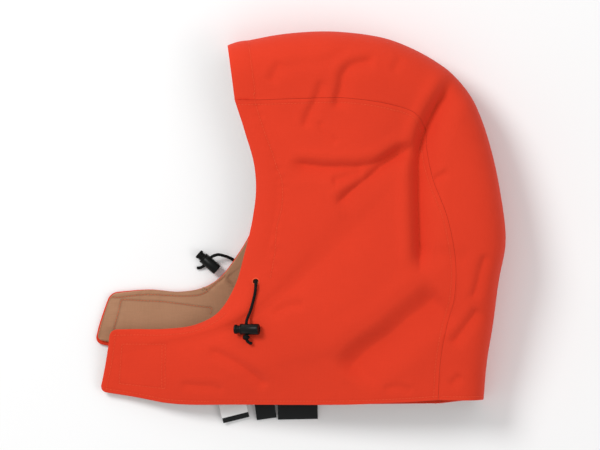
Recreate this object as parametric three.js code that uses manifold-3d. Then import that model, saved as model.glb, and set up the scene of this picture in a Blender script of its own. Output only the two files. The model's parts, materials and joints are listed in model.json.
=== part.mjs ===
// Arc-rated fleece hood, lying on its side as it rests on a table: two side panels that run out into
// closure tabs, a centre panel over the head, a fleece lining behind each, and a drawcord with cord locks.
// Millimetres, +Z up. The origin is on the table, under the middle of the hood. "Near" is the upper side
// as it lies, "far" the lower side, which rests on the table. The brow is towards -X, the crown towards +Y.
import * as THREE from "three";
import { mergeVertices } from "three/addons/utils/BufferGeometryUtils.js";
import Module from "manifold-3d";

// The hood as it lies
const HOOD_DEPTH = 278; // brow to back of the head
const HOOD_HEIGHT = 372; // crown to neck hem
const LIE_HEIGHT = 74; // crown above the table
const NEAR_TAB_REACH = 129; // upper closure tab, in front of the brow
const FAR_TAB_REACH = 134; // lower closure tab, in front of the brow
const SIDE_PUFF = 13; // how far the upper side panel stands above a flat stretch between its edges
const CENTRE_RISE = 7; // how far the centre panel stands above the seam beside it
const CASING_WIDTH = 22; // drawcord tunnel along the face opening
const CASING_PUFF = 1.6;

// Cloth
const SHELL = 1.6; // duck shell, with its interlining
const LINING = 2.0; // fleece
const LAYER_GAP = 0.4; // between shell and lining
const SEAM_GAP = 0.3; // between two panels at a seam
const RIM = 1.3; // shell that shows past the lining along a free edge
const SEAT = 0.3; // between a sewn-on piece and what carries it

// Closure, labels and eyelets
const HOOK = 1.6; // thickness of the hook patch
const LOOP = 1.6; // thickness of the loop strip
const LABEL = 0.5;
const LABEL_TUCK = 13; // part of a label hidden behind the neck hem
const EYELET_HOLE = { long: 5.8, wide: 5.0 };
const EYELET_BAND = 1.3; // stitched band around the hole
const EYELET_THICK = 0.8;
const EYELET_STEPS = 6; // a half of the points around the eyelet

// Drawcord and cord locks
const CORD = 3;
const CORD_SIDES = 8;
const CORD_STEPS = 24;
const FIT = 0.3; // clearance around the cord and around the plunger
const BARREL_LENGTH = 19.4;
const BARREL_DIAMETER = 11;
const BARREL_WALL = 1.3;
const BARREL_HOLE_AT = 6.2; // cord hole, from the barrel's mouth
const BORE_DEPTH = 15.5;
const PLUNGER_TRAVEL = 3;
const HEAD_LENGTH = 2.8;
const HEAD_DIAMETER = 9.4;
const PLUNGER_END = 1.6; // plunger wall past its cord slot
const EDGE_ROUND = 0.9; // rounded rims of the lock
const ROUND_SIDES = 16;
const KNOT_LENGTH = 3.8;
const KNOT_DIAMETER = 7.2;

// Mesh steps
const ROWS_ALONG = 26; // brow to neck hem, the same on every panel
const ROWS_NEAR = 20; // seam to tab end
const ROWS_FAR = 11;
const ROWS_CENTRE = 9; // seam to seam
const CLOSE_TO_BROW = 1.12; // above 1 the rows crowd towards the brow
const CLOSE_TO_SEAM = 1.2; // above 1 the rows crowd towards the seam
const CENTRE_ROUND = 0.8; // 1 is a round centre panel, less is squarer

// In the tables x is a share of HOOD_DEPTH behind the brow, or of the tab's reach in front of it, y a share
// of HOOD_HEIGHT above the neck hem, and z a share of LIE_HEIGHT.

// The two seams of the centre panel and the back outline between them, from brow to neck hem
const CENTRE_ROWS = [
  { seamX: 0.026, seamY: 0.817, seamZ: 0.76, backX: 0.0, backY: 0.965, farX: 0.037, farY: 0.812 },
  { seamX: 0.12, seamY: 0.817, seamZ: 0.82, backX: 0.08, backY: 0.979, farX: 0.131, farY: 0.813 },
  { seamX: 0.27, seamY: 0.82, seamZ: 0.88, backX: 0.225, backY: 0.997, farX: 0.27, farY: 0.817 },
  { seamX: 0.43, seamY: 0.821, seamZ: 0.91, backX: 0.4, backY: 1.001, farX: 0.43, farY: 0.819 },
  { seamX: 0.585, seamY: 0.804, seamZ: 0.91, backX: 0.577, backY: 0.981, farX: 0.581, farY: 0.801 },
  { seamX: 0.675, seamY: 0.78, seamZ: 0.88, backX: 0.728, backY: 0.931, farX: 0.674, farY: 0.772 },
  { seamX: 0.708, seamY: 0.74, seamZ: 0.86, backX: 0.829, backY: 0.874, farX: 0.728, farY: 0.728 },
  { seamX: 0.712, seamY: 0.688, seamZ: 0.86, backX: 0.887, backY: 0.815, farX: 0.757, farY: 0.677 },
  { seamX: 0.736, seamY: 0.605, seamZ: 0.89, backX: 0.941, backY: 0.707, farX: 0.779, farY: 0.602 },
  { seamX: 0.788, seamY: 0.503, seamZ: 0.92, backX: 0.982, backY: 0.567, farX: 0.808, farY: 0.5 },
  { seamX: 0.818, seamY: 0.382, seamZ: 0.91, backX: 1.0, backY: 0.438, farX: 0.822, farY: 0.387 },
  { seamX: 0.813, seamY: 0.285, seamZ: 0.87, backX: 0.977, backY: 0.331, farX: 0.815, farY: 0.288 },
  { seamX: 0.786, seamY: 0.207, seamZ: 0.8, backX: 0.959, backY: 0.231, farX: 0.797, farY: 0.202 },
  { seamX: 0.764, seamY: 0.113, seamZ: 0.73, backX: 0.937, backY: 0.129, farX: 0.775, farY: 0.108 },
  { seamX: 0.757, seamY: 0.012, seamZ: 0.66, backX: 0.923, backY: 0.012, farX: 0.768, farY: 0.0 },
];

// Face opening and top edge of the upper tab, from the seam to the tab's end
const NEAR_EDGE = [
  { x: 0.026, y: 0.817, z: 0.76 },
  { x: 0.064, y: 0.728, z: 0.7 },
  { x: 0.095, y: 0.648, z: 0.66 },
  { x: 0.103, y: 0.575, z: 0.62 },
  { x: 0.09, y: 0.497, z: 0.57 },
  { x: 0.063, y: 0.409, z: 0.5 },
  { x: 0.027, y: 0.32, z: 0.43 },
  { x: -0.075, y: 0.247, z: 0.36 },
  { x: -0.247, y: 0.214, z: 0.3 },
  { x: -0.49, y: 0.202, z: 0.26 },
  { x: -0.725, y: 0.202, z: 0.24 },
  { x: -0.914, y: 0.2, z: 0.23 },
];
const NEAR_END = [
  { x: -0.914, y: 0.2, z: 0.23 },
  { x: -0.933, y: 0.145, z: 0.2 },
  { x: -0.961, y: 0.089, z: 0.15 },
  { x: -0.996, y: 0.032, z: 0.1 },
];
const NEAR_HEM = [
  { x: 0.757, y: 0.012, z: 0.66 },
  { x: 0.621, y: 0.005, z: 0.62 },
  { x: 0.423, y: -0.001, z: 0.54 },
  { x: 0.225, y: -0.002, z: 0.46 },
  { x: 0.027, y: -0.002, z: 0.36 },
  { x: -0.294, y: -0.003, z: 0.26 },
  { x: -0.49, y: 0.002, z: 0.2 },
  { x: -0.686, y: 0.015, z: 0.15 },
  { x: -0.996, y: 0.032, z: 0.1 },
];

// The same three edges of the lower side, which lies flat
const FAR_EDGE = [
  { x: 0.037, y: 0.812, z: 0 },
  { x: 0.074, y: 0.728, z: 0 },
  { x: 0.106, y: 0.648, z: 0 },
  { x: 0.117, y: 0.575, z: 0 },
  { x: 0.106, y: 0.508, z: 0 },
  { x: 0.076, y: 0.452, z: 0 },
  { x: 0.031, y: 0.397, z: 0 },
  { x: -0.057, y: 0.341, z: 0 },
  { x: -0.185, y: 0.313, z: 0 },
  { x: -0.358, y: 0.302, z: 0 },
  { x: -0.585, y: 0.308, z: 0 },
  { x: -0.879, y: 0.3, z: 0 },
];
const FAR_END = [
  { x: -0.879, y: 0.3, z: 0 },
  { x: -0.925, y: 0.255, z: 0 },
  { x: -0.966, y: 0.21, z: 0 },
  { x: -0.996, y: 0.164, z: 0 },
];
const FAR_HEM = [
  { x: 0.768, y: 0, z: 0 },
  { x: 0.423, y: -0.002, z: 0 },
  { x: 0.225, y: 0, z: 0 },
  { x: 0.063, y: 0.008, z: 0 },
  { x: -0.132, y: 0.038, z: 0 },
  { x: -0.358, y: 0.081, z: 0 },
  { x: -0.585, y: 0.124, z: 0 },
  { x: -0.774, y: 0.145, z: 0 },
  { x: -0.996, y: 0.164, z: 0 },
];

// Dents and folds of the upper side: each runs from point 0 through point 1 to point 2, wide is a share of
// HOOD_DEPTH and deep a share of LIE_HEIGHT.
const FOLDS = [
  { x0: 0.81, y0: 0.88, x1: 0.71, y1: 0.75, x2: 0.66, y2: 0.53, wide: 0.036, deep: 0.18 }, // main crease
  { x0: 0.67, y0: 0.64, x1: 0.66, y1: 0.48, x2: 0.69, y2: 0.31, wide: 0.036, deep: 0.11 }, // its lower end
  { x0: 0.21, y0: 0.66, x1: 0.42, y1: 0.64, x2: 0.68, y2: 0.74, wide: 0.032, deep: 0.08 }, // side fold
  { x0: 0.33, y0: 0.5, x1: 0.49, y1: 0.59, x2: 0.67, y2: 0.72, wide: 0.034, deep: 0.095 }, // side fold
  { x0: 0.37, y0: 0.6, x1: 0.44, y1: 0.62, x2: 0.51, y2: 0.63, wide: 0.025, deep: 0.04 }, // between them
  { x0: 0.54, y0: 0.93, x1: 0.42, y1: 0.87, x2: 0.38, y2: 0.76, wide: 0.029, deep: 0.055 }, // crown
  { x0: 0.34, y0: 0.89, x1: 0.32, y1: 0.83, x2: 0.28, y2: 0.75, wide: 0.025, deep: 0.04 }, // crown
  { x0: 0.37, y0: 0.94, x1: 0.26, y1: 0.91, x2: 0.17, y2: 0.87, wide: 0.025, deep: 0.035 }, // crown
  { x0: 0.22, y0: 0.95, x1: 0.18, y1: 0.91, x2: 0.15, y2: 0.86, wide: 0.022, deep: 0.027 }, // brow
  { x0: 0.33, y0: 0.77, x1: 0.35, y1: 0.73, x2: 0.4, y2: 0.7, wide: 0.022, deep: 0.027 }, // below the seam
  { x0: 0.5, y0: 0.79, x1: 0.53, y1: 0.78, x2: 0.57, y2: 0.75, wide: 0.025, deep: 0.04 }, // below the seam
  { x0: 0.74, y0: 0.61, x1: 0.77, y1: 0.62, x2: 0.8, y2: 0.62, wide: 0.025, deep: 0.04 }, // seam pucker
  { x0: 0.73, y0: 0.41, x1: 0.79, y1: 0.4, x2: 0.85, y2: 0.38, wide: 0.032, deep: 0.04 }, // seam pucker
  { x0: 0.78, y0: 0.31, x1: 0.62, y1: 0.24, x2: 0.43, y2: 0.09, wide: 0.072, deep: 0.095 }, // lower dent
  { x0: 0.92, y0: 0.27, x1: 0.86, y1: 0.22, x2: 0.79, y2: 0.16, wide: 0.032, deep: 0.055 }, // nape
  { x0: 0.88, y0: 0.1, x1: 0.84, y1: 0.07, x2: 0.79, y2: 0.04, wide: 0.025, deep: 0.04 }, // nape
  { x0: -0.09, y0: 0.15, x1: 0.01, y1: 0.12, x2: 0.11, y2: 0.08, wide: 0.032, deep: 0.035 }, // chin
  { x0: 0.12, y0: 0.24, x1: 0.2, y1: 0.26, x2: 0.27, y2: 0.27, wide: 0.029, deep: 0.027 }, // chin
];

// Where the small pieces sit
const EYELET_PLACE = { x: 0.1025, y: 0.3306 };
const HOOK_CORNERS = [
  { x: -0.82, y: 0.161 },
  { x: -0.482, y: 0.161 },
  { x: -0.485, y: 0.041 },
  { x: -0.843, y: 0.056 },
];
const LOOP_CORNERS = [
  { x: -0.804, y: 0.28 },
  { x: -0.117, y: 0.258 },
  { x: -0.162, y: 0.145 },
  { x: -0.864, y: 0.169 },
];
// Bare sewn-in labels under the neck hem: wide is a share of HOOD_DEPTH, drop, which is how far one hangs
// below the hem, a share of HOOD_HEIGHT, and turn is in degrees
const LABELS = [
  { name: "label_white", x: 0.02, y: -0.01, wide: 0.097, drop: 0.036, turn: 14, colour: 0xf1f1ee },
  { name: "label_small_black", x: 0.134, y: -0.004, wide: 0.072, drop: 0.038, turn: 8, colour: 0x17171a },
  { name: "label_large_black", x: 0.253, y: -0.003, wide: 0.144, drop: 0.04, turn: 1, colour: 0x17171a },
];

// The upper cord, from its eyelet to its knot and from the knot to its end: millimetres from the eyelet,
// right is towards the back, down towards the hem, rise is the cord's middle above the cloth, and level is
// the same height above the middle of its lock
const NEAR_CORD = [
  { right: 0, down: -1.0, rise: -0.4 },
  { right: 0, down: 0.2, rise: 1.4 },
  { right: 0, down: 2.3, rise: 3.2 },
  { right: -0.1, down: 5.2, rise: 3.7 },
  { right: -0.4, down: 8.8, rise: 2.9 },
  { right: -0.9, down: 12.5, rise: 2.2 },
  { right: -1.9, down: 17, rise: 2.0 },
  { right: -3.2, down: 22, rise: 2.0 },
  { right: -4.6, down: 27, rise: 2.1 },
  { right: -6.1, down: 31.5, rise: 2.8 },
  { right: -7.6, down: 35, rise: 4.0 },
  { right: -8.7, down: 38, level: -0.5 },
  { right: -9.3, down: 41, level: 0 },
  { right: -9.4, down: 44.5, level: 0 },
  { right: -9.4, down: 53.4, level: 0 },
];
const NEAR_CORD_END = [
  { right: -8.9, down: 58.5, level: -0.1 },
  { right: -7.7, down: 60.2, level: -0.4 },
  { right: -5.9, down: 61.4, level: -0.9 },
  { right: -3.5, down: 62.0, level: -1.4 },
];
const KNOT_PLACE = { right: -9.4, down: 55.6, level: 0 };
const NEAR_LOCK_PLACE = { right: -9.4, down: 47.7, rise: 6.0 };

// The lower cord runs out from under the hood and through its lock, all on the table: millimetres from the
// eyelet, and height is the cord's middle above the table
const FAR_CORD = [
  { right: 0.5, down: 0.5, height: 5.3 },
  { right: -0.4, down: -0.4, height: 4.1 },
  { right: -2.1, down: -2.1, height: 2.4 },
  { right: -4.4, down: -4.4, height: 1.6 },
  { right: -9, down: -9, height: 1.6 },
  { right: -15, down: -15, height: 1.6 },
  { right: -19.8, down: -19.2, height: 1.7 },
  { right: -24.3, down: -22.3, height: 2.6 },
  { right: -28.9, down: -24.4, height: 4.5 },
  { right: -33.4, down: -25.7, height: 6.8 },
  { right: -37.6, down: -26.6, height: 8.8 },
  { right: -42, down: -25.6, height: 9.7 },
  { right: -45, down: -24, height: 8.8 },
  { right: -47, down: -21.7, height: 7 },
  { right: -48.7, down: -19.7, height: 5.5 },
  { right: -50.5, down: -17.6, height: 3.9 },
  { right: -52.3, down: -15.6, height: 2.5 },
  { right: -55.4, down: -13.6, height: 1.6 },
  { right: -59.6, down: -12.9, height: 1.6 },
];
const FAR_LOCK_PLACE = { right: -48.7, down: -19.7, height: 5.5 };
const FAR_LOCK_TURN = -41; // degrees, the barrel as it lies on the table
const FAR_LOCK_ROLL = 30; // degrees, the cord hole out of the level

// How the lower side lifts off the table over its loop strip and over the cord that runs out below it
const TAB_LIFT = LOOP + SEAT;
const TAB_LIFT_AT = { full: 0.03, none: 0.13 };
const CORD_LIFT = 5.5;
const CORD_LIFT_REACH = { full: 26, none: 55 }; // millimetres from the cord's line

const ORANGE = new THREE.MeshStandardMaterial({ color: 0xdd4128, roughness: 0.92, metalness: 0 });
const TAN = new THREE.MeshStandardMaterial({ color: 0xa77c5f, roughness: 0.98, metalness: 0 });
const ORANGE_TAPE = new THREE.MeshStandardMaterial({ color: 0xc8482c, roughness: 0.95, metalness: 0 });
const ORANGE_THREAD = new THREE.MeshStandardMaterial({ color: 0xd4452a, roughness: 0.8, metalness: 0 });
const BLACK_CORD = new THREE.MeshStandardMaterial({ color: 0x141416, roughness: 0.8, metalness: 0 });
const BLACK_PLASTIC = new THREE.MeshStandardMaterial({ color: 0x202022, roughness: 0.45, metalness: 0 });

const wasm = await Module();
wasm.setup();

// Goes smoothly from 0 at a to 1 at b, whichever is larger
function smooth(a, b, x) {
  const share = THREE.MathUtils.clamp((x - a) / (b - a), 0, 1);
  return share * share * (3 - 2 * share);
}

const radians = THREE.MathUtils.degToRad;

// Shares to millimetres
function place(x, y, z, tabReach) {
  return new THREE.Vector3((x < 0 ? tabReach : HOOD_DEPTH) * x, HOOD_HEIGHT * y, LIE_HEIGHT * z);
}

function curveThrough(points) {
  return new THREE.CatmullRomCurve3(points, false, "centripetal");
}

function edgeCurve(rows, tabReach) {
  return curveThrough(rows.map((row) => place(row.x, row.y, row.z, tabReach)));
}

// The centre panel's three guiding lines share one parameter, so that its cross-sections stay square to it
const nearSeam = curveThrough(CENTRE_ROWS.map((row) => place(row.seamX, row.seamY, row.seamZ, 0)));
const backLine = curveThrough(CENTRE_ROWS.map((row) => place(row.backX, row.backY, 0, 0)));
const farSeam = curveThrough(CENTRE_ROWS.map((row) => place(row.farX, row.farY, 0, 0)));
const seamAt = (t) => nearSeam.getUtoTmapping(t);

// A four-sided panel between its seam, its face edge, its hem and its tab end
function panelBetween(seam, faceEdge, hem, tabEnd) {
  const corners = [faceEdge.getPointAt(0), faceEdge.getPointAt(1), hem.getPointAt(0), hem.getPointAt(1)];
  return (s, t) =>
    new THREE.Vector3()
      .addScaledVector(seam.getPoint(seamAt(t)), 1 - s)
      .addScaledVector(tabEnd.getPointAt(t), s)
      .addScaledVector(faceEdge.getPointAt(s), 1 - t)
      .addScaledVector(hem.getPointAt(s), t)
      .addScaledVector(corners[0], -(1 - s) * (1 - t))
      .addScaledVector(corners[1], -s * (1 - t))
      .addScaledVector(corners[2], -(1 - s) * t)
      .addScaledVector(corners[3], -s * t);
}

const nearFlat = panelBetween(
  nearSeam,
  edgeCurve(NEAR_EDGE, NEAR_TAB_REACH),
  edgeCurve(NEAR_HEM, NEAR_TAB_REACH),
  edgeCurve(NEAR_END, NEAR_TAB_REACH),
);
const farFlat = panelBetween(
  farSeam,
  edgeCurve(FAR_EDGE, FAR_TAB_REACH),
  edgeCurve(FAR_HEM, FAR_TAB_REACH),
  edgeCurve(FAR_END, FAR_TAB_REACH),
);
const eyeletAt = place(EYELET_PLACE.x, EYELET_PLACE.y, 0, 0);

function nearSide(s, t) {
  const point = nearFlat(s, t);
  point.z += SIDE_PUFF * Math.sin(Math.PI * s) * Math.sin(Math.PI * t);
  const fromEdge = Math.hypot(point.x - nearFlat(s, 0).x, point.y - nearFlat(s, 0).y);
  if (fromEdge < CASING_WIDTH) {
    const puff = CASING_PUFF * Math.sin((Math.PI * fromEdge) / CASING_WIDTH);
    point.z += puff * smooth(0.55, 0.4, s);
  }
  return point;
}

// The lower side lies on the table, lifted over its loop strip and over the cord below it
function farSide(s, t) {
  const point = farFlat(s, t);
  const overStrip = smooth(TAB_LIFT_AT.none * HOOD_DEPTH, TAB_LIFT_AT.full * HOOD_DEPTH, point.x);
  const line = new THREE.Line3(at(FAR_CORD[0]), at(FAR_CORD[5]));
  const flat = new THREE.Vector3(point.x, point.y, 0);
  const fromCord = line.closestPointToPoint(flat, true, new THREE.Vector3()).distanceTo(flat);
  const overCord = smooth(CORD_LIFT_REACH.none, CORD_LIFT_REACH.full, fromCord);
  point.z = Math.max(TAB_LIFT * overStrip, CORD_LIFT * overCord);
  return point;
}

// Plan position of a point of the cord tables
function at(row) {
  return new THREE.Vector3(eyeletAt.x + row.right, eyeletAt.y - row.down, 0);
}

// The centre panel goes from the upper seam over the back of the head to the lower seam
function centre(w, t) {
  const r = seamAt(t);
  const seam = nearSeam.getPoint(r);
  const far = farSeam.getPoint(r);
  const back = backLine.getPoint(r);
  const turn = Math.PI * w;
  const out = Math.sin(turn) ** CENTRE_ROUND;
  const up = Math.sign(Math.cos(turn)) * Math.abs(Math.cos(turn)) ** CENTRE_ROUND;
  const base = seam.clone().lerp(far, w);
  const height = seam.z * (0.5 + 0.5 * up) + CENTRE_RISE * Math.sin(2 * turn);
  return new THREE.Vector3(
    base.x + (back.x - base.x) * out,
    base.y + (back.y - base.y) * out,
    Math.max(0, height),
  );
}

// Folds: each is a shallow valley with a low ridge on either side, along a curve through three points
const foldLines = FOLDS.map((fold) => ({
  points: curveThrough([
    place(fold.x0, fold.y0, 0, NEAR_TAB_REACH),
    place(fold.x1, fold.y1, 0, NEAR_TAB_REACH),
    place(fold.x2, fold.y2, 0, NEAR_TAB_REACH),
  ]).getPoints(14),
  wide: fold.wide * HOOD_DEPTH,
  deep: fold.deep * LIE_HEIGHT,
}));

function relief(x, y) {
  const flat = new THREE.Vector3(x, y, 0);
  let sum = 0;
  for (const { points, wide, deep } of foldLines) {
    let nearest = Infinity;
    let along = 0;
    points.forEach((point, i) => {
      if (i === points.length - 1) return;
      const line = new THREE.Line3(point, points[i + 1]);
      const share = line.closestPointToPointParameter(flat, true);
      const distance = line.at(share, new THREE.Vector3()).distanceTo(flat);
      if (distance >= nearest) return;
      nearest = distance;
      along = (i + share) / (points.length - 1);
    });
    const q = nearest / wide;
    const ends = smooth(0, 0.25, along) * smooth(1, 0.75, along);
    sum -= deep * ends * (1 - 0.5 * q * q) * Math.exp(-0.5 * q * q);
  }
  return sum;
}

// Grids of points: first index from the seam outwards, or across the centre panel, second from brow to hem
const evenly = (rows, power) => Array.from({ length: rows + 1 }, (_, i) => (i / rows) ** power);
const along = evenly(ROWS_ALONG, CLOSE_TO_BROW);
const gridOf = (surface, across) => across.map((s) => along.map((t) => surface(s, t)));

function normalsOf(grid, side) {
  const last = grid.length - 1;
  return grid.map((row, i) =>
    row.map((_, j) => {
      const u = grid[Math.min(i + 1, last)][j].clone().sub(grid[Math.max(i - 1, 0)][j]);
      const v = row[Math.min(j + 1, row.length - 1)].clone().sub(row[Math.max(j - 1, 0)]);
      return u.cross(v).normalize().multiplyScalar(side);
    }),
  );
}

// Two panels that meet at a seam share its normals, lengthened so that both keep their thickness
function joinNormals(a, b) {
  a.forEach((normal, j) => {
    const shared = normal.clone().add(b[j]).normalize();
    shared.divideScalar(Math.max(0.75, shared.dot(normal)));
    a[j] = shared;
    b[j] = shared.clone();
  });
}

const SIDE_OUT = 1;
const SIDE_DOWN = -1;
const grids = {
  near: gridOf(nearSide, evenly(ROWS_NEAR, CLOSE_TO_SEAM)),
  centre: gridOf(centre, evenly(ROWS_CENTRE, 1)),
  far: gridOf(farSide, evenly(ROWS_FAR, 1)),
};
const outwards = { near: SIDE_OUT, centre: SIDE_DOWN, far: SIDE_DOWN };

function panelNormals() {
  const normals = {};
  for (const name of Object.keys(grids)) normals[name] = normalsOf(grids[name], outwards[name]);
  joinNormals(normals.near[0], normals.centre[0]);
  joinNormals(normals.far[0], normals.centre[ROWS_CENTRE]);
  return normals;
}

// Press the folds into the upper side, fading out round the back of the head
const unfolded = panelNormals();
grids.near.forEach((row, i) =>
  row.forEach((point, j) => point.addScaledVector(unfolded.near[i][j], relief(point.x, point.y))),
);
grids.centre.forEach((row, i) =>
  row.forEach((point, j) => {
    const fade = smooth(0.62, 0.35, i / ROWS_CENTRE);
    point.addScaledVector(unfolded.centre[i][j], fade * relief(point.x, point.y));
  }),
);
const normals = panelNormals();

// A grid's four borders moved inwards: first and last are its seam-side and outer borders
function trimmed(grid, trims) {
  const rows = grid.map((row) => row.map((point) => point.clone()));
  const pull = (border, inner, amount) =>
    border.add(inner.clone().sub(border).setLength(amount));
  const last = rows.length - 1;
  const end = rows[0].length - 1;
  for (const row of rows) {
    pull(row[0], row[1], trims.brow);
    pull(row[end], row[end - 1], trims.hem);
  }
  for (let j = 0; j <= end; j += 1) {
    pull(rows[0][j], rows[1][j], trims.first);
    pull(rows[last][j], rows[last - 1][j], trims.last);
  }
  return rows;
}

const inset = (grid, gridNormals, depth) =>
  grid.map((row, i) => row.map((point, j) => point.clone().addScaledVector(gridNormals[i][j], -depth)));

// A closed sheet between two grids of points
function sheet(outer, inner, side) {
  const rows = outer.length;
  const columns = outer[0].length;
  const count = rows * columns;
  const positions = [outer, inner].flatMap((grid) => grid.flat().flatMap((point) => point.toArray()));
  const faces = [];
  const face = (a, b, c) => faces.push(...(side > 0 ? [a, b, c] : [a, c, b]));
  const id = (i, j) => i * columns + j;
  for (let i = 0; i < rows - 1; i += 1) {
    for (let j = 0; j < columns - 1; j += 1) {
      face(id(i, j), id(i + 1, j), id(i + 1, j + 1));
      face(id(i, j), id(i + 1, j + 1), id(i, j + 1));
      face(count + id(i, j), count + id(i + 1, j + 1), count + id(i + 1, j));
      face(count + id(i, j), count + id(i, j + 1), count + id(i + 1, j + 1));
    }
  }
  const border = [];
  for (let i = 0; i < rows - 1; i += 1) border.push(id(i, 0));
  for (let j = 0; j < columns - 1; j += 1) border.push(id(rows - 1, j));
  for (let i = rows - 1; i > 0; i -= 1) border.push(id(i, columns - 1));
  for (let j = columns - 1; j > 0; j -= 1) border.push(id(0, j));
  border.forEach((a, i) => {
    const b = border[(i + 1) % border.length];
    face(a, count + a, count + b);
    face(a, count + b, b);
  });
  return new THREE.BufferGeometry()
    .setAttribute("position", new THREE.Float32BufferAttribute(positions, 3))
    .setIndex(faces);
}

function named(name, geometry, material) {
  const mesh = new THREE.Mesh(geometry, material);
  mesh.name = name;
  return mesh;
}

// One layer of one panel, depth millimetres inside the hood's outer face
function layer(panel, depth, thickness, rim) {
  const across = panel === "centre" ? SEAM_GAP / 2 : rim;
  const trims = { brow: rim, hem: rim, first: SEAM_GAP / 2, last: across };
  const grid = trimmed(grids[panel], trims);
  const outer = inset(grid, normals[panel], depth);
  return sheet(outer, inset(grid, normals[panel], depth + thickness), outwards[panel]);
}

const shellOf = (panel) => layer(panel, 0, SHELL, 0);
const liningOf = (panel) => layer(panel, SHELL + LAYER_GAP, LINING, RIM);

// Solids that are cut
function solidOf(geometry) {
  const plain = geometry.clone();
  plain.deleteAttribute("normal");
  plain.deleteAttribute("uv");
  const merged = mergeVertices(plain, 1e-4);
  return new wasm.Manifold(
    new wasm.Mesh({
      numProp: 3,
      vertProperties: merged.attributes.position.array,
      triVerts: new Uint32Array(merged.index.array),
    }),
  );
}

function cut(geometry, tool) {
  const mesh = solidOf(geometry).subtract(solidOf(tool)).getMesh();
  return new THREE.BufferGeometry()
    .setAttribute("position", new THREE.BufferAttribute(mesh.vertProperties, 3))
    .setIndex(new THREE.BufferAttribute(mesh.triVerts, 1));
}

// First point of a mesh that a vertical ray meets, from above or from below
function hit(mesh, x, y, fromAbove) {
  const start = new THREE.Vector3(x, y, fromAbove ? 2 * LIE_HEIGHT : -LIE_HEIGHT);
  const ray = new THREE.Raycaster(start, new THREE.Vector3(0, 0, fromAbove ? -1 : 1));
  return ray.intersectObject(mesh)[0];
}

// Eyelets: a stitched oval band on the shell, around a hole through it
function ovalPoints(band) {
  const path = new THREE.Path();
  path.absellipse(0, 0, EYELET_HOLE.long / 2 + band, EYELET_HOLE.wide / 2 + band, 0, 2 * Math.PI);
  return path.getPoints(EYELET_STEPS).slice(0, -1);
}

function eyeletBand() {
  const shape = new THREE.Shape(ovalPoints(EYELET_BAND));
  shape.holes.push(new THREE.Path(ovalPoints(0)));
  return new THREE.ExtrudeGeometry(shape, { depth: EYELET_THICK, bevelEnabled: false });
}

function eyeletCutter() {
  const shape = new THREE.Shape(ovalPoints(0));
  const depth = 2 * (SHELL + LAYER_GAP / 2);
  const geometry = new THREE.ExtrudeGeometry(shape, { depth, bevelEnabled: false });
  return geometry.translate(0, 0, -depth / 2);
}

// Turns +Z to the given direction and moves to the given point
function facing(point, direction) {
  const turn = new THREE.Quaternion().setFromUnitVectors(new THREE.Vector3(0, 0, 1), direction);
  return new THREE.Matrix4().compose(point, turn, new THREE.Vector3(1, 1, 1));
}

// A round bar of cord through the given points
function cordTube(points) {
  const section = new THREE.Shape(
    Array.from({ length: CORD_SIDES }, (_, i) => {
      const angle = (2 * Math.PI * i) / CORD_SIDES;
      return new THREE.Vector2((CORD / 2) * Math.cos(angle), (CORD / 2) * Math.sin(angle));
    }),
  );
  const path = curveThrough(points);
  const steps = Math.max(2, Math.min(CORD_STEPS, Math.round(path.getLength() / (1.2 * CORD))));
  return new THREE.ExtrudeGeometry(section, { steps, bevelEnabled: false, extrudePath: path });
}

// Cord lock, its long axis along X with the mouth at X = 0 and its cord hole along Y
function lathed(profile) {
  const geometry = new THREE.LatheGeometry(
    profile.map(([radius, x]) => new THREE.Vector2(radius, x)),
    ROUND_SIDES,
  );
  return geometry.rotateZ(-Math.PI / 2);
}

function barrel() {
  const radius = BARREL_DIAMETER / 2;
  const bore = radius - BARREL_WALL;
  const body = lathed([
    [0, BORE_DEPTH],
    [bore, BORE_DEPTH],
    [bore, 0],
    [radius - EDGE_ROUND, 0],
    [radius, EDGE_ROUND],
    [radius, BARREL_LENGTH - EDGE_ROUND],
    [radius - EDGE_ROUND, BARREL_LENGTH],
    [0, BARREL_LENGTH],
  ]);
  const hole = new THREE.CylinderGeometry(CORD / 2 + FIT, CORD / 2 + FIT, 2 * BARREL_DIAMETER, ROUND_SIDES);
  return cut(body, hole.translate(BARREL_HOLE_AT, 0, 0));
}

function plunger() {
  const radius = BARREL_DIAMETER / 2 - BARREL_WALL - FIT;
  const slotEnd = BARREL_HOLE_AT + CORD / 2 + FIT;
  const slotLength = CORD + 2 * FIT + PLUNGER_TRAVEL;
  const head = HEAD_DIAMETER / 2;
  const headInner = -PLUNGER_TRAVEL - FIT;
  const headOuter = headInner - HEAD_LENGTH;
  const body = lathed([
    [0, headOuter],
    [head - EDGE_ROUND, headOuter],
    [head, headOuter + EDGE_ROUND],
    [head, headInner],
    [radius, headInner],
    [radius, slotEnd + PLUNGER_END],
    [0, slotEnd + PLUNGER_END],
  ]);
  const slot = new THREE.BoxGeometry(slotLength, BARREL_DIAMETER, CORD + 2 * FIT);
  return cut(body, slot.translate(slotEnd - slotLength / 2, 0, 0));
}

const mouthAtHole = new THREE.Matrix4().makeTranslation(-BARREL_HOLE_AT, 0, 0);

// The hood's cloth
const part = new THREE.Group();
const shellNear = named("shell_near_side", shellOf("near"), ORANGE);
const shellFar = named("shell_far_side", shellOf("far"), ORANGE);
const liningNear = named("lining_near_side", liningOf("near"), TAN);
const liningFar = named("lining_far_side", liningOf("far"), TAN);
part.add(
  shellNear,
  shellFar,
  named("shell_centre", shellOf("centre"), ORANGE),
  liningNear,
  liningFar,
  named("lining_centre", liningOf("centre"), TAN),
);

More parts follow.
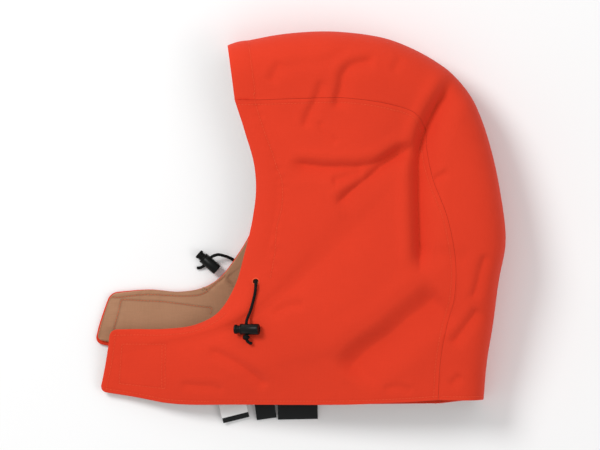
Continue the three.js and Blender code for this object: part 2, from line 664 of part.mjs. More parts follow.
// Eyelets. The cord and its lock are laid on the cloth as it is without the hole.
const clothBelow = shellNear.clone();
const nearEyelet = hit(shellNear, eyeletAt.x, eyeletAt.y, true);
const farEyelet = hit(shellFar, eyeletAt.x, eyeletAt.y, false);
for (const [name, shell, seat] of [
  ["eyelet_near", shellNear, nearEyelet],
  ["eyelet_far", shellFar, farEyelet],
]) {
  const on = facing(seat.point, seat.face.normal);
  part.add(named(name, eyeletBand().translate(0, 0, SEAT).applyMatrix4(on), ORANGE_THREAD));
  shell.geometry = cut(shell.geometry, eyeletCutter().applyMatrix4(on));
}

// Hook patch under the upper tab, following the lining's lower face
function cornerPoint(corners, u, v, tabReach) {
  const [a, b, c, d] = corners.map((corner) => place(corner.x, corner.y, 0, tabReach));
  return a.lerp(b, u).lerp(d.lerp(c, u), v);
}

function hookPatch() {
  const steps = evenly(6, 1);
  const grid = steps.map((v) => steps.map((u) => cornerPoint(HOOK_CORNERS, u, v, NEAR_TAB_REACH)));
  for (const point of grid.flat()) point.z = hit(liningNear, point.x, point.y, false).point.z - SEAT;
  const below = grid.map((row) => row.map((point) => point.clone().setZ(point.z - HOOK)));
  return sheet(grid, below, SIDE_OUT);
}

// Loop strip under the lower tab, flat on the table
function loopStrip() {
  const outline = LOOP_CORNERS.map((corner) => place(corner.x, corner.y, 0, FAR_TAB_REACH));
  return new THREE.ExtrudeGeometry(new THREE.Shape(outline), { depth: LOOP, bevelEnabled: false });
}

part.add(named("hook_patch", hookPatch(), ORANGE_TAPE), named("loop_strip", loopStrip(), ORANGE_TAPE));

// Labels sewn to the lining behind the neck hem
for (const { name, x, y, wide, drop, turn, colour } of LABELS) {
  const corner = place(x, y, 0, FAR_TAB_REACH);
  const width = wide * HOOD_DEPTH;
  const hanging = drop * HOOD_HEIGHT;
  const plate = new THREE.BoxGeometry(width, hanging + LABEL_TUCK, LABEL);
  plate.translate(0, (LABEL_TUCK - hanging) / 2, 0).rotateZ(radians(turn));
  const heights = [-width / 2, 0, width / 2].map((shift) => {
    const below = hit(liningFar, corner.x + shift, corner.y + LABEL_TUCK, true);
    return below ? below.point.z : 0;
  });
  plate.translate(corner.x, corner.y, Math.max(...heights) + SEAT + LABEL / 2);
  const woven = new THREE.MeshStandardMaterial({ color: colour, roughness: 0.8, metalness: 0 });
  part.add(named(name, plate, woven));
}

// Drawcord ends and cord locks, each in a group of its own
function clothHeight(row) {
  return hit(clothBelow, at(row).x, at(row).y, true).point.z;
}

const nearLockHeight = clothHeight(NEAR_LOCK_PLACE) + NEAR_LOCK_PLACE.rise;

function onCloth(row) {
  return at(row).setZ("rise" in row ? clothHeight(row) + row.rise : nearLockHeight + row.level);
}

function onTable(row) {
  return at(row).setZ(row.height);
}

function cordLock(side, matrix) {
  const lock = new THREE.Group();
  lock.add(named(`cord_lock_${side}_barrel`, barrel().applyMatrix4(mouthAtHole), BLACK_PLASTIC));
  lock.add(named(`cord_lock_${side}_plunger`, plunger().applyMatrix4(mouthAtHole), BLACK_PLASTIC));
  lock.applyMatrix4(matrix);
  return lock;
}

// The upper lock lies on the cloth: its barrel follows the cloth's slope, its hole follows the cord
const nearLockAt = onCloth(NEAR_LOCK_PLACE);
const barrelEnd = NEAR_LOCK_PLACE.right + BARREL_LENGTH - BARREL_HOLE_AT;
const towardsBack = onCloth({ ...NEAR_LOCK_PLACE, right: barrelEnd }).sub(nearLockAt).normalize();
const lockUp = towardsBack.clone().cross(new THREE.Vector3(0, 1, 0)).normalize();
const lockAcross = lockUp.clone().cross(towardsBack);
const nearTurn = new THREE.Matrix4().makeBasis(towardsBack, lockAcross, lockUp);
part.add(cordLock("near", nearTurn.setPosition(nearLockAt)));
const farTurn = new THREE.Matrix4()
  .makeRotationZ(radians(FAR_LOCK_TURN))
  .multiply(new THREE.Matrix4().makeRotationX(radians(FAR_LOCK_ROLL)));
part.add(cordLock("far", farTurn.setPosition(onTable(FAR_LOCK_PLACE))));

function knot() {
  const radius = KNOT_DIAMETER / 2;
  const half = KNOT_LENGTH / 2;
  return lathed([
    [0, -half],
    [0.6 * radius, -half],
    [radius, -0.3 * half],
    [radius, 0.3 * half],
    [0.6 * radius, half],
    [0, half],
  ]);
}

const nearKnot = knot().rotateZ(-Math.PI / 2).translate(...onCloth(KNOT_PLACE));
part.add(
  named("drawcord_near", cordTube(NEAR_CORD.map(onCloth)), BLACK_CORD),
  named("drawcord_near_knot", nearKnot, BLACK_CORD),
  named("drawcord_near_end", cordTube(NEAR_CORD_END.map(onCloth)), BLACK_CORD),
  named("drawcord_far", cordTube(FAR_CORD.map(onTable)), BLACK_CORD),
);

// Origin on the table, under the middle of everything but the cords and their locks
const cloth = new THREE.Box3();
for (const mesh of part.children) {
  if (mesh.isMesh && !mesh.name.startsWith("drawcord")) cloth.expandByObject(mesh);
}
const middle = cloth.getCenter(new THREE.Vector3());
part.position.set(-middle.x, -middle.y, -cloth.min.z);

export default part;
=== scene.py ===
import json
import math

import bpy
import numpy as np
from mathutils import Matrix, Vector
from mathutils.bvhtree import BVHTree


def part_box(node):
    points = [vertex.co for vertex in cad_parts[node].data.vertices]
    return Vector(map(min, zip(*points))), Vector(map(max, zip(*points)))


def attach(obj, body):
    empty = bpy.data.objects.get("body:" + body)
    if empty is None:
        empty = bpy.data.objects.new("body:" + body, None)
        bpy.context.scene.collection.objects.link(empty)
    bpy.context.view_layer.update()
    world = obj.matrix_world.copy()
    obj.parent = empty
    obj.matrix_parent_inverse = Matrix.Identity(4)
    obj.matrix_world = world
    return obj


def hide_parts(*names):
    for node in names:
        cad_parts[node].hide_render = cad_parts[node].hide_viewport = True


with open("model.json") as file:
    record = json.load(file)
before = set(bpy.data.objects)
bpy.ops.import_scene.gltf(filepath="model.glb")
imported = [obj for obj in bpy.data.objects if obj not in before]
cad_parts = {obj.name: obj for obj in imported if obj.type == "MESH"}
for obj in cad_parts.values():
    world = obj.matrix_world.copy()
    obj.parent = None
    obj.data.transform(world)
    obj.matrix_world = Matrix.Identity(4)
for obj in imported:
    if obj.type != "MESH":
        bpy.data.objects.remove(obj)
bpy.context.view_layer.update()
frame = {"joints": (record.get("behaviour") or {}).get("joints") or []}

# The hood as it lies
HOOD_DEPTH = 278.0
HOOD_HEIGHT = 372.0
LIE_HEIGHT = 74.0
NEAR_TAB_REACH = 129.0
FAR_TAB_REACH = 134.0
SIDE_PUFF = 13.0
CENTRE_RISE = 7.0
CASING_WIDTH = 22.0
CASING_PUFF = 1.6
CENTRE_ROUND = 0.8

# Cloth
SHELL = 1.6
LINING = 2.0
LAYER_GAP = 0.4
LINING_SEAT = 0.1
SEAM_GAP = 0.03
SEAM_ROUND = 0.25
SEAM_SINK = 0.2
CORNER_ROUND = 7.0
TURNED_HEM = 5.0
FAR_TURNED_HEM = 3.4
RIM = 1.3
HOOK = 1.6
LOOP = 1.6
TAPE_LENGTH = 0.12
LABEL = 0.5
LABEL_TUCK = 13.0
EYELET_LONG = 5.8
EYELET_WIDE = 5.0
EYELET_BAND = 1.3
EYELET_RISE = 0.8
EYELET_THREADS = 38
WEAVE = 0.7

# Mesh steps
FINE_STEP = 2.2
TAB_LINING_STEP = 2.4
UNDER_STEP = 2.8
LINING_STEP = 3.2
LINE_STEP = 3.0
FOLD_STEP = 4.0
SEAM_LEAD = [0, 0.02, 0.09, 0.17, 0.25, 0.45, 0.9, 1.8, 2.8, 3.6, 4.1, 4.5, 4.9, 5.5, 6.8, 8.6]
EDGE_LEAD = [0, 0.12, 0.35, 0.8, 1.6, 3.0, 4.5]
PLAIN_LEAD = [0, 0.02, 0.09, 0.17, 0.25, 0.5, 1.0, 2.0]
TOPSTITCH = 4.5
HEM_STITCH = 4.0

# Stitches
STITCH_LENGTH = 2.5
STITCH_PITCH = 3.3
THREAD = 0.5
STITCH_SIDES = 6
STITCH_GROOVE = 0.18
GROOVE_WIDTH = 1.1

# Drawcord and cord locks
CORD = 3.0
CORD_SIDES = 24
CORD_STEP = 0.35
BRAID = 0.055
BRAID_STRANDS = 8
BRAID_PITCH = 3.6
FIT = 0.3
BARREL_LENGTH = 19.4
BARREL_DIAMETER = 11.0
BARREL_WALL = 1.3
BARREL_HOLE_AT = 6.2
BORE_DEPTH = 15.5
PLUNGER_TRAVEL = 3.0
HEAD_LENGTH = 2.8
HEAD_DIAMETER = 9.4
PLUNGER_END = 1.6
LATHE_SIDES = 72
HOLE_SIDES = 40
FAR_LOCK_ROLL = 30.0
KNOT_LENGTH = 3.8
KNOT_DIAMETER = 7.2
KNOT_TURNS = 1.6

# Camera and light, in metres
CAMERA_HEIGHT = 6.0
MIDDLE_HEIGHT = 0.033
VIEW_WIDTH = 0.6
VIEW_CENTRE = (0.0007, 0.0034)
SENSOR = 36.0
FLOOR_HALF = 6.0
FLOOR_LEVEL = -0.0002
WORLD_LIGHT = 0.6
LIGHT_TARGET = (0, 0, 0.03)

# Each light's place, size and watts
KEY_LIGHT = ((-1.4, 1.15, 1.78), 1.0, 36.5)
FILL_LIGHT = ((1.5, -0.6, 1.7), 1.4, 8)

# In the tables x is a share of HOOD_DEPTH behind the brow, or of the tab's reach in front of it, y a share of
# HOOD_HEIGHT above the neck hem, and z a share of LIE_HEIGHT.

# The two seams of the centre panel and the back outline between them, from brow to neck hem:
# seam x, y, z, back x, y, far seam x, y
CENTRE_ROWS = [
    (0.026, 0.817, 0.76, 0.0, 0.965, 0.037, 0.812),
    (0.12, 0.817, 0.82, 0.08, 0.979, 0.131, 0.813),
    (0.27, 0.82, 0.88, 0.225, 0.997, 0.27, 0.817),
    (0.43, 0.821, 0.91, 0.4, 1.001, 0.43, 0.819),
    (0.585, 0.804, 0.91, 0.577, 0.981, 0.581, 0.801),
    (0.675, 0.78, 0.88, 0.728, 0.931, 0.674, 0.772),
    (0.708, 0.74, 0.86, 0.829, 0.874, 0.728, 0.728),
    (0.712, 0.688, 0.86, 0.887, 0.815, 0.757, 0.677),
    (0.736, 0.605, 0.89, 0.941, 0.707, 0.779, 0.602),
    (0.788, 0.503, 0.92, 0.982, 0.567, 0.808, 0.5),
    (0.818, 0.382, 0.91, 1.0, 0.438, 0.822, 0.387),
    (0.813, 0.285, 0.87, 0.977, 0.331, 0.815, 0.288),
    (0.786, 0.207, 0.8, 0.959, 0.231, 0.797, 0.202),
    (0.764, 0.113, 0.73, 0.937, 0.129, 0.775, 0.108),
    (0.757, 0.012, 0.66, 0.923, 0.012, 0.768, 0.0),
]

# Face opening, tab end and hem of the upper side: x, y, z
NEAR_EDGE = [
    (0.026, 0.817, 0.76), (0.064, 0.728, 0.7), (0.095, 0.648, 0.66), (0.103, 0.575, 0.62),
    (0.09, 0.497, 0.57), (0.063, 0.409, 0.5), (0.027, 0.32, 0.43), (-0.075, 0.247, 0.36),
    (-0.247, 0.214, 0.3), (-0.49, 0.202, 0.26), (-0.725, 0.202, 0.24), (-0.914, 0.2, 0.23),
]
NEAR_END = [(-0.914, 0.2, 0.23), (-0.933, 0.145, 0.2), (-0.961, 0.089, 0.15), (-0.996, 0.032, 0.1)]
NEAR_HEM = [
    (0.757, 0.012, 0.66), (0.621, 0.005, 0.62), (0.423, -0.001, 0.54), (0.225, -0.002, 0.46),
    (0.027, -0.002, 0.36), (-0.294, -0.003, 0.26), (-0.49, 0.002, 0.2), (-0.686, 0.015, 0.15),
    (-0.996, 0.032, 0.1),
]

# The same three edges of the lower side, which lies flat: x, y
FAR_EDGE = [
    (0.037, 0.812), (0.074, 0.728), (0.106, 0.648), (0.117, 0.575), (0.106, 0.508), (0.076, 0.452),
    (0.031, 0.397), (-0.057, 0.341), (-0.185, 0.313), (-0.358, 0.302), (-0.585, 0.308), (-0.879, 0.3),
]
FAR_END = [(-0.879, 0.3), (-0.925, 0.255), (-0.966, 0.21), (-0.996, 0.164)]
FAR_HEM = [
    (0.768, 0), (0.423, -0.002), (0.225, 0), (0.063, 0.008), (-0.132, 0.038), (-0.358, 0.081),
    (-0.585, 0.124), (-0.774, 0.145), (-0.996, 0.164),
]

# Folds and dents of the upper side in millimetres from the brow and the hem: the course of each valley's
# bottom, the width of its flank on the left of that course and of the other one, its depth, and how creased
# its bottom is, from 0 for round to 1
FOLDS = [
    (
        [(191, 127), (192, 138), (191, 163), (190, 190), (190, 245), (193, 262)]
        + [(199, 280), (207, 296), (216, 310), (225, 325), (229, 331)],
        *(11, 30, 12.5, 0.9),
    ),
    (
        [(60, 242), (79, 239), (99, 237), (119, 237), (136, 238), (152, 243), (168, 253), (185, 264)],
        *(9, 20, 6.2, 0.8),
    ),
    ([(106, 197), (124, 214), (142, 227), (157, 240), (177, 253), (188, 262)], 8, 22, 5.4, 0.85),
    ([(103, 223), (119, 227), (136, 233)], 7, 12, 2.6, 0.6),
    ([(108, 292), (110, 306), (113, 317), (115, 329), (122, 338), (134, 342), (150, 345)], 7, 18, 3.9, 0.8),
    ([(77, 274), (79, 286), (87, 302), (92, 315), (95, 325)], 6, 14, 2.5, 0.8),
    ([(42, 321), (48, 333), (54, 343)], 7, 12, 1.7, 0.5),
    ([(52, 327), (60, 336), (75, 340), (95, 341), (107, 348), (124, 355)], 8, 12, 0.9, 0.4),
    ([(164, 331), (173, 347)], 6, 10, 1.3, 0.5),
    ([(93, 284), (95, 274), (103, 266), (111, 260)], 6, 8, 1.3, 0.5),
    ([(205, 225), (213, 229), (221, 233)], 5, 9, 2.3, 0.7),
    (
        [(116, 27), (127, 41), (138, 52), (149, 60), (160, 67)]
        + [(171, 77), (182, 87), (196, 97), (207, 108), (215, 115)],
        *(22, 38, 8.6, 0.25),
    ),
    ([(243, 104), (248, 116), (252, 133), (258, 152)], 7, 12, 2.6, 0.6),
    ([(223, 59), (234, 74), (243, 86), (251, 97)], 8, 14, 3.2, 0.6),
    ([(222, 19), (233, 30)], 6, 10, 1.7, 0.5),
    ([(204, 151), (223, 148), (240, 144)], 12, 16, 1.4, 0.2),
    ([(155, 15), (171, 18), (186, 13)], 6, 8, 1.1, 0.3),
    ([(-20, 56), (-9, 51), (12, 40), (30, 27), (41, 16)], 8, 13, 2.5, 0.6),
    ([(-48, 20), (-30, 18), (-14, 17), (-2, 13)], 7, 10, 1.1, 0.4),
    ([(44, 89), (62, 99), (78, 100)], 8, 10, 1.6, 0.4),
]
ROLL = 0.15

# Where the drawcord tunnel is stitched down on the upper side and on the lower one, from the brow
NEAR_CASING_LINE = [
    (0.095, 0.836), (0.099, 0.815), (0.11, 0.785), (0.138, 0.723), (0.167, 0.664), (0.178, 0.637),
    (0.196, 0.602), (0.196, 0.53), (0.178, 0.476), (0.171, 0.406), (0.155, 0.341),
]
EYELET_PLACE = (0.1025, 0.3306)

# Closure stitching: the square on the upper tab and the long box on the lining side of the lower tab
NEAR_TAB_SQUARE = [(-0.82, 0.161), (-0.482, 0.161), (-0.485, 0.041), (-0.843, 0.054), (-0.82, 0.161)]
NEAR_TAB_SECOND = [(-0.508, 0.158), (-0.511, 0.044)]
FAR_TAB_BOX = [
    (-0.129, 0.242), (-0.117, 0.258), (-0.48, 0.275), (-0.796, 0.281), (-0.849, 0.207), (-0.864, 0.176),
]
FAR_TAB_TOPSTITCH = [
    (-0.02, 0.345), (-0.1, 0.321), (-0.185, 0.296), (-0.306, 0.29), (-0.615, 0.294), (-0.845, 0.286),
    (-0.872, 0.288), (-0.925, 0.242), (-0.977, 0.169),
]
FACING_STEP = [(-0.02, 0.342), (0.006, 0.328), (0.03, 0.307), (0.052, 0.27)]
FACING_DEEP = 2.0
HOLLOW_DEEP = 3.0

HOOK_CORNERS = [(-0.82, 0.161), (-0.482, 0.161), (-0.485, 0.041), (-0.843, 0.056)]
LOOP_CORNERS = [(-0.804, 0.28), (-0.117, 0.258), (-0.162, 0.145), (-0.864, 0.169)]

# Bare sewn-in labels: node, x, y, width and visible drop as shares, turn in degrees, and finish. The white
# one has a plain black band along its end.
LABELS = [
    ("label_white", 0.02, -0.01, 0.097, 0.036, 14, "white_label"),
    ("label_small_black", 0.134, -0.004, 0.072, 0.038, 8, "black_label"),
    ("label_large_black", 0.253, -0.003, 0.144, 0.04, 1, "black_label"),
]
LABEL_BAND = 5.5

# The upper cord in millimetres right of its eyelet and down towards the hem. The third number is the height
# of its middle above the cloth, or, in the level rows, above or below the middle of its lock.
NEAR_CORD_ON_CLOTH = [
    (0, -1.0, -0.4), (0, 0.2, 1.4), (0, 2.3, 3.2), (-0.1, 5.2, 3.7), (-0.4, 8.8, 2.9),
    (-0.9, 12.5, 2.2), (-1.9, 17, 2.0), (-3.2, 22, 2.0), (-4.6, 27, 2.1), (-6.1, 31.5, 2.8),
    (-7.6, 35, 4.0),
]
NEAR_CORD_LEVEL = [
    (-8.7, 38, -0.5), (-9.3, 41, 0), (-9.4, 44.5, 0), (-9.4, 53.4, 0), (-9.4, 56.0, 0),
    (-8.9, 58.5, -0.1), (-7.7, 60.2, -0.4), (-5.9, 61.4, -0.9), (-3.5, 62.0, -1.4),
]
KNOT_PLACE = (-9.4, 55.6)

# The lower cord, the same way, with the height of its middle above the table
FAR_CORD = [
    (0.5, 0.5, 5.3), (-0.4, -0.4, 4.1), (-2.1, -2.1, 2.4), (-4.4, -4.4, 1.6), (-9, -9, 1.6),
    (-15, -15, 1.6), (-19.8, -19.2, 1.7), (-24.3, -22.3, 2.6), (-28.9, -24.4, 4.5), (-33.4, -25.7, 6.8),
    (-37.6, -26.6, 8.8), (-42, -25.6, 9.7), (-45, -24, 8.8), (-47, -21.7, 7), (-48.7, -19.7, 5.5),
    (-50.5, -17.6, 3.9), (-52.3, -15.6, 2.5), (-55.4, -13.6, 1.6), (-59.6, -12.9, 1.6),
]

# How the lower side lifts off the table over its loop strip and over the cord that runs out below it
TAB_LIFT = LOOP + 0.3
TAB_LIFT_FULL = 0.03
TAB_LIFT_NONE = 0.13
CORD_LIFT = 5.5
CORD_LIFT_FULL = 26.0
CORD_LIFT_NONE = 55.0

METRE = 1000.0
SQUARE = [(-1, -1), (1, -1), (1, 1), (-1, 1)]


def place(rows, reach):
    """Rows of shares as points in millimetres."""
    rows = np.array([tuple(row) + (0,) * (3 - len(row)) for row in rows], float)
    across = np.where(rows[:, 0] < 0, reach, HOOD_DEPTH)
    return rows * np.stack([across, np.full(len(rows), HOOD_HEIGHT), np.full(len(rows), LIE_HEIGHT)], 1)


strip_corners = place(LOOP_CORNERS, FAR_TAB_REACH)
strip_low = np.array(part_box("loop_strip")[0]) * METRE
ORIGIN = np.array([strip_low[0] - strip_corners[:, 0].min(), strip_low[1] - strip_corners[:, 1].min(), 0])


def to_frame(points):
    """Millimetres from brow, hem and table to metres in the row frame."""
    return (np.asarray(points, float) + ORIGIN) / METRE


def from_frame(point):
    return np.array(point, float) * METRE - ORIGIN


def smooth(a, b, x):
    """From 0 at a to 1 at b, whichever is larger."""
    share = np.clip((np.asarray(x, float) - a) / (b - a), 0, 1)
    return share * share * (3 - 2 * share)


def unit(vectors):
    return vectors / np.maximum(np.linalg.norm(vectors, axis=-1, keepdims=True), 1e-12)


class Curve:
    """A centripetal Catmull-Rom curve, read by its own parameter or by its share of length."""

    STEPS = 40

    def __init__(self, points):
        p = np.asarray(points, float)
        p = np.vstack([2 * p[0] - p[1], p, 2 * p[-1] - p[-2]])
        u = np.linspace(0, 1, self.STEPS, endpoint=False)[:, None]
        parts = []
        for a, b, c, d in zip(p[:-3], p[1:-2], p[2:-1], p[3:]):
            pairs = ((a, b), (b, c), (c, d))
            before, across, after = (math.sqrt(max(np.linalg.norm(n - m), 1e-6)) for m, n in pairs)
            start = ((b - a) / before - (c - a) / (before + across) + (c - b) / across) * across
            end = ((c - b) / across - (d - b) / (across + after) + (d - c) / after) * across
            square = -3 * b + 3 * c - 2 * start - end
            parts.append(b + start * u + square * u**2 + (2 * b - 2 * c + start + end) * u**3)
        self.samples = np.vstack(parts + [p[-2:-1]])
        self.own = np.linspace(0, 1, len(self.samples))
        steps = np.linalg.norm(np.diff(self.samples, axis=0), axis=1)
        walked = np.concatenate([[0], np.cumsum(steps)])
        self.length = walked[-1]
        self.share = walked / self.length

    def _read(self, where, along):
        return np.stack([np.interp(where, along, column) for column in self.samples.T], -1)

    def at(self, share):
        return self._read(share, self.share)

    def point(self, own):
        return self._read(own, self.own)

    def steps(self, pitch):
        """Points along it, a pitch apart."""
        return self.at(np.linspace(0, 1, max(2, round(self.length / pitch) + 1)))


centre_rows = np.array(CENTRE_ROWS)
near_seam = Curve(place(centre_rows[:, 0:3], 0))
back_line = Curve(place(centre_rows[:, 3:5], 0))
far_seam = Curve(place(centre_rows[:, 5:7], 0))


def edge_curves(edge, hem, end, reach):
    return [Curve(place(rows, reach)) for rows in (edge, hem, end)]


near_edge, near_hem, near_end = near_curves = edge_curves(NEAR_EDGE, NEAR_HEM, NEAR_END, NEAR_TAB_REACH)
far_edge, far_hem, far_end = far_curves = edge_curves(FAR_EDGE, FAR_HEM, FAR_END, FAR_TAB_REACH)
eyelet_at = place([EYELET_PLACE], 0)[0]


def seam_own(t):
    return np.interp(t, near_seam.share, near_seam.own)


def panel_between(seam, curves, s, t):
    """A four-sided panel between its seam, face edge, hem and tab end."""
    edge, hem, end = curves
    a, b, c, d = edge.at(0), edge.at(1), hem.at(0), hem.at(1)
    u, v = s[..., None], t[..., None]
    sides = seam.point(seam_own(t)) * (1 - u) + end.at(t) * u + edge.at(s) * (1 - v) + hem.at(s) * v
    return sides - a * (1 - u) * (1 - v) - b * u * (1 - v) - c * (1 - u) * v - d * u * v


def near_side(s, t):
    point = panel_between(near_seam, near_curves, s, t)
    start = panel_between(near_seam, near_curves, s, np.zeros_like(t))
    point[..., 2] += SIDE_PUFF * np.sin(math.pi * s) * np.sin(math.pi * t)
    from_edge = np.hypot(point[..., 0] - start[..., 0], point[..., 1] - start[..., 1])
    puff = CASING_PUFF * np.sin(math.pi * np.minimum(from_edge / CASING_WIDTH, 1)) * smooth(0.55, 0.4, s)
    point[..., 2] += puff
    return point


def segment_distance(points, line):
    """Distance in plan from each point to a polyline, the share of the line's steps there, and the side."""
    nearest = np.full(points.shape[:-1], np.inf)
    along = np.zeros(points.shape[:-1])
    side = np.zeros(points.shape[:-1])
    for i, (a, b) in enumerate(zip(line[:-1, :2], line[1:, :2])):
        step = b - a
        off = points[..., :2] - a
        share = np.clip(off @ step / max(step @ step, 1e-12), 0, 1)
        gap = off - share[..., None] * step
        distance = np.hypot(gap[..., 0], gap[..., 1])
        closer = distance < nearest
        nearest = np.where(closer, distance, nearest)
        along = np.where(closer, (i + share) / (len(line) - 1), along)
        side = np.where(closer, np.sign(step[0] * off[..., 1] - step[1] * off[..., 0]), side)
    return nearest, along, side


def far_side(s, t):
    point = panel_between(far_seam, far_curves, s, t)
    over_strip = smooth(TAB_LIFT_NONE * HOOD_DEPTH, TAB_LIFT_FULL * HOOD_DEPTH, point[..., 0])
    line = np.array([eyelet_at[:2] + (row[0], -row[1]) for row in (FAR_CORD[0], FAR_CORD[5])])
    over_cord = smooth(CORD_LIFT_NONE, CORD_LIFT_FULL, segment_distance(point, line)[0])
    point[..., 2] = np.maximum(TAB_LIFT * over_strip, CORD_LIFT * over_cord)
    return point


def centre(w, t):
    """The centre panel, from the upper seam over the back of the head to the lower seam."""
    own = seam_own(t)
    seam, far, back = near_seam.point(own), far_seam.point(own), back_line.point(own)
    turn = math.pi * w
    out = np.maximum(np.sin(turn), 0) ** CENTRE_ROUND
    up = np.sign(np.cos(turn)) * np.abs(np.cos(turn)) ** CENTRE_ROUND
    base = seam + (far - seam) * w[..., None]
    point = base + (back - base) * out[..., None]
    height = seam[..., 2] * (0.5 + 0.5 * up) + CENTRE_RISE * np.sin(2 * turn)
    point[..., 2] = np.maximum(0, height)
    return point


SURFACES = {"near": near_side, "centre": centre, "far": far_side}
OUT = {"near": 1, "centre": -1, "far": -1}


def surface_normal(panel, s, t):
    step = 2e-3
    low_s, high_s = np.clip(s - step, 0, 1), np.clip(s + step, 0, 1)
    low_t, high_t = np.clip(t - step, 0, 1), np.clip(t + step, 0, 1)
    surface = SURFACES[panel]
    across = surface(high_s, t) - surface(low_s, t)
    along = surface(s, high_t) - surface(s, low_t)
    return unit(np.cross(across, along)) * OUT[panel]


def seam_normal(t):
    zero = np.zeros_like(t)
    return unit(surface_normal("near", zero, t) + surface_normal("centre", zero, t))


def far_seam_normal(t):
    return unit(surface_normal("far", np.zeros_like(t), t) + surface_normal("centre", np.ones_like(t), t))


fold_lines = [(Curve(course).steps(FOLD_STEP), *rest) for course, *rest in FOLDS]


def folds(points):
    """Valleys that are steep on one flank and gentle on the other, with a low roll above the steep flank."""
    total = np.zeros(points.shape[:-1])
    for line, steep, gentle, deep, creased in fold_lines:
        distance, along, side = segment_distance(points, line)
        q = distance / np.where(side > 0, steep, gentle)
        inside = np.minimum(q, 1)
        ends = smooth(0, 0.14, along) * smooth(1, 0.86, along)
        valley = creased * (1 - inside) ** 2 + (1 - creased) * 0.5 * (1 + np.cos(math.pi * inside))
        roll = ROLL * np.exp(-(((q - 1.3) / 0.5) ** 2)) * (side > 0)
        total += deep * ends * (roll - valley)
    return total


def folds_below(points):
    """The lowest that the folds come within a coarse mesh step of each point."""
    shifts = [(0, 0, 0), (2, 0, 0), (-2, 0, 0), (0, 2, 0), (0, -2, 0)]
    return np.min([folds(points + np.array(shift)) for shift in shifts], axis=0)


def noise(points, size, seed):
    """Smooth noise from -1 to 1 in plan, with humps about size millimetres across."""
    random = np.random.default_rng(seed)
    grid = random.uniform(-1, 1, (96, 96))
    x = points[..., 0] / size + 48.5
    y = points[..., 1] / size + 24.5
    i, j = np.floor(x).astype(int), np.floor(y).astype(int)
    u, v = x - i, y - j
    u, v = u * u * (3 - 2 * u), v * v * (3 - 2 * v)
    a, b = grid[i % 96, j % 96], grid[(i + 1) % 96, j % 96]
    c, d = grid[i % 96, (j + 1) % 96], grid[(i + 1) % 96, (j + 1) % 96]
    return (a * (1 - u) + b * u) * (1 - v) + (c * (1 - u) + d * u) * v


# Stitch lines in plan
def offset_line(curve, distance):
    """A curve's points moved sideways in plan, to the left of its course if distance is positive."""
    points = curve.steps(LINE_STEP)
    direction = unit(np.gradient(points[:, :2], axis=0))
    left = np.stack([-direction[:, 1], direction[:, 0]], 1)
    return points[:, :2] + distance * left


def plan_line(rows, reach):
    return Curve(place(rows, reach)).steps(LINE_STEP)[:, :2]


near_casing = plan_line(NEAR_CASING_LINE, NEAR_TAB_REACH)
near_topstitch = offset_line(near_seam, -TOPSTITCH)
near_hem_stitch = offset_line(near_hem, -HEM_STITCH)[:-2]
near_end_stitch = offset_line(near_end, 6.0)[1:-1]
tab_part = near_edge.steps(LINE_STEP)[:, 0] < -6.0
near_tab_stitch = offset_line(near_edge, 6.0)[tab_part][:-1]
square = place(NEAR_TAB_SQUARE, NEAR_TAB_REACH)[:, :2]
second = place(NEAR_TAB_SECOND, NEAR_TAB_REACH)[:, :2]
far_box = place(FAR_TAB_BOX, FAR_TAB_REACH)[:, :2]
far_topstitch = plan_line(FAR_TAB_TOPSTITCH, FAR_TAB_REACH)
far_casing = offset_line(far_edge, 24.0)[2:]
far_casing = far_casing[far_casing[:, 1] > 0.42 * HOOD_HEIGHT]
facing_step = plan_line(FACING_STEP, FAR_TAB_REACH)
far_seam_stitch = offset_line(far_seam, -TOPSTITCH)
far_hem_stitch = offset_line(far_hem, -HEM_STITCH)[:-2]

# What is stitched on the upper face, on the lining of the lower side and on the underside. The number is
# how high the puckers beside the line are.
NEAR_PUCKERS = [
    (near_casing, 0.45),
    (near_topstitch, 0.14),
    (near_hem_stitch, 0.14),
    (near_end_stitch, 0.08),
    (near_tab_stitch, 0.12),
    (square, 0.1),
    (second, 0.05),
]
LINING_PUCKERS = [(far_topstitch, 0.3), (far_box, 0.25), (far_casing, 0.3), (far_hem_stitch, 0.2)]
UNDER_LINES = [far_seam_stitch, far_hem_stitch, far_topstitch, far_casing, far_box]


def walked_of(line):
    return np.concatenate([[0], np.cumsum(np.linalg.norm(np.diff(line, axis=0), axis=1))])


def groove(points, line, pucker=0.25):
    """How far a stitched line pulls the cloth in, with small puckers beside it."""
    distance, along, _ = segment_distance(points, line)
    walked = along * walked_of(line)[-1]
    pulled = np.exp(-((distance / GROOVE_WIDTH) ** 2))
    wave = np.sin(2 * math.pi * walked / 11.0 + 3.5 * np.sin(walked / 17.0))
    strength = np.sin(walked / 23.0 + 1.0) ** 2
    beside = np.exp(-((distance / 5.0) ** 2)) * wave * (0.2 + 0.8 * strength)
    return -STITCH_GROOVE * pulled + pucker * beside * (1 - pulled), pulled


def stitched_relief(points, lines, height, share):
    """A relief with grooves and puckers along stitch lines, and how near each point is to a line."""
    stitch_and_hole_shade = np.zeros(points.shape[:-1])
    for line, pucker in lines:
        sunk, pulled = groove(points, line, pucker)
        height = height + share * sunk
        stitch_and_hole_shade = np.maximum(stitch_and_hole_shade, pulled)
    return height, stitch_and_hole_shade


def detail_near(points):
    height = 0.5 * noise(points, 46.0, 3) + 0.22 * noise(points, 19.0, 4) + 0.07 * noise(points, 7.0, 5)
    return stitched_relief(points, NEAR_PUCKERS, height, 1)


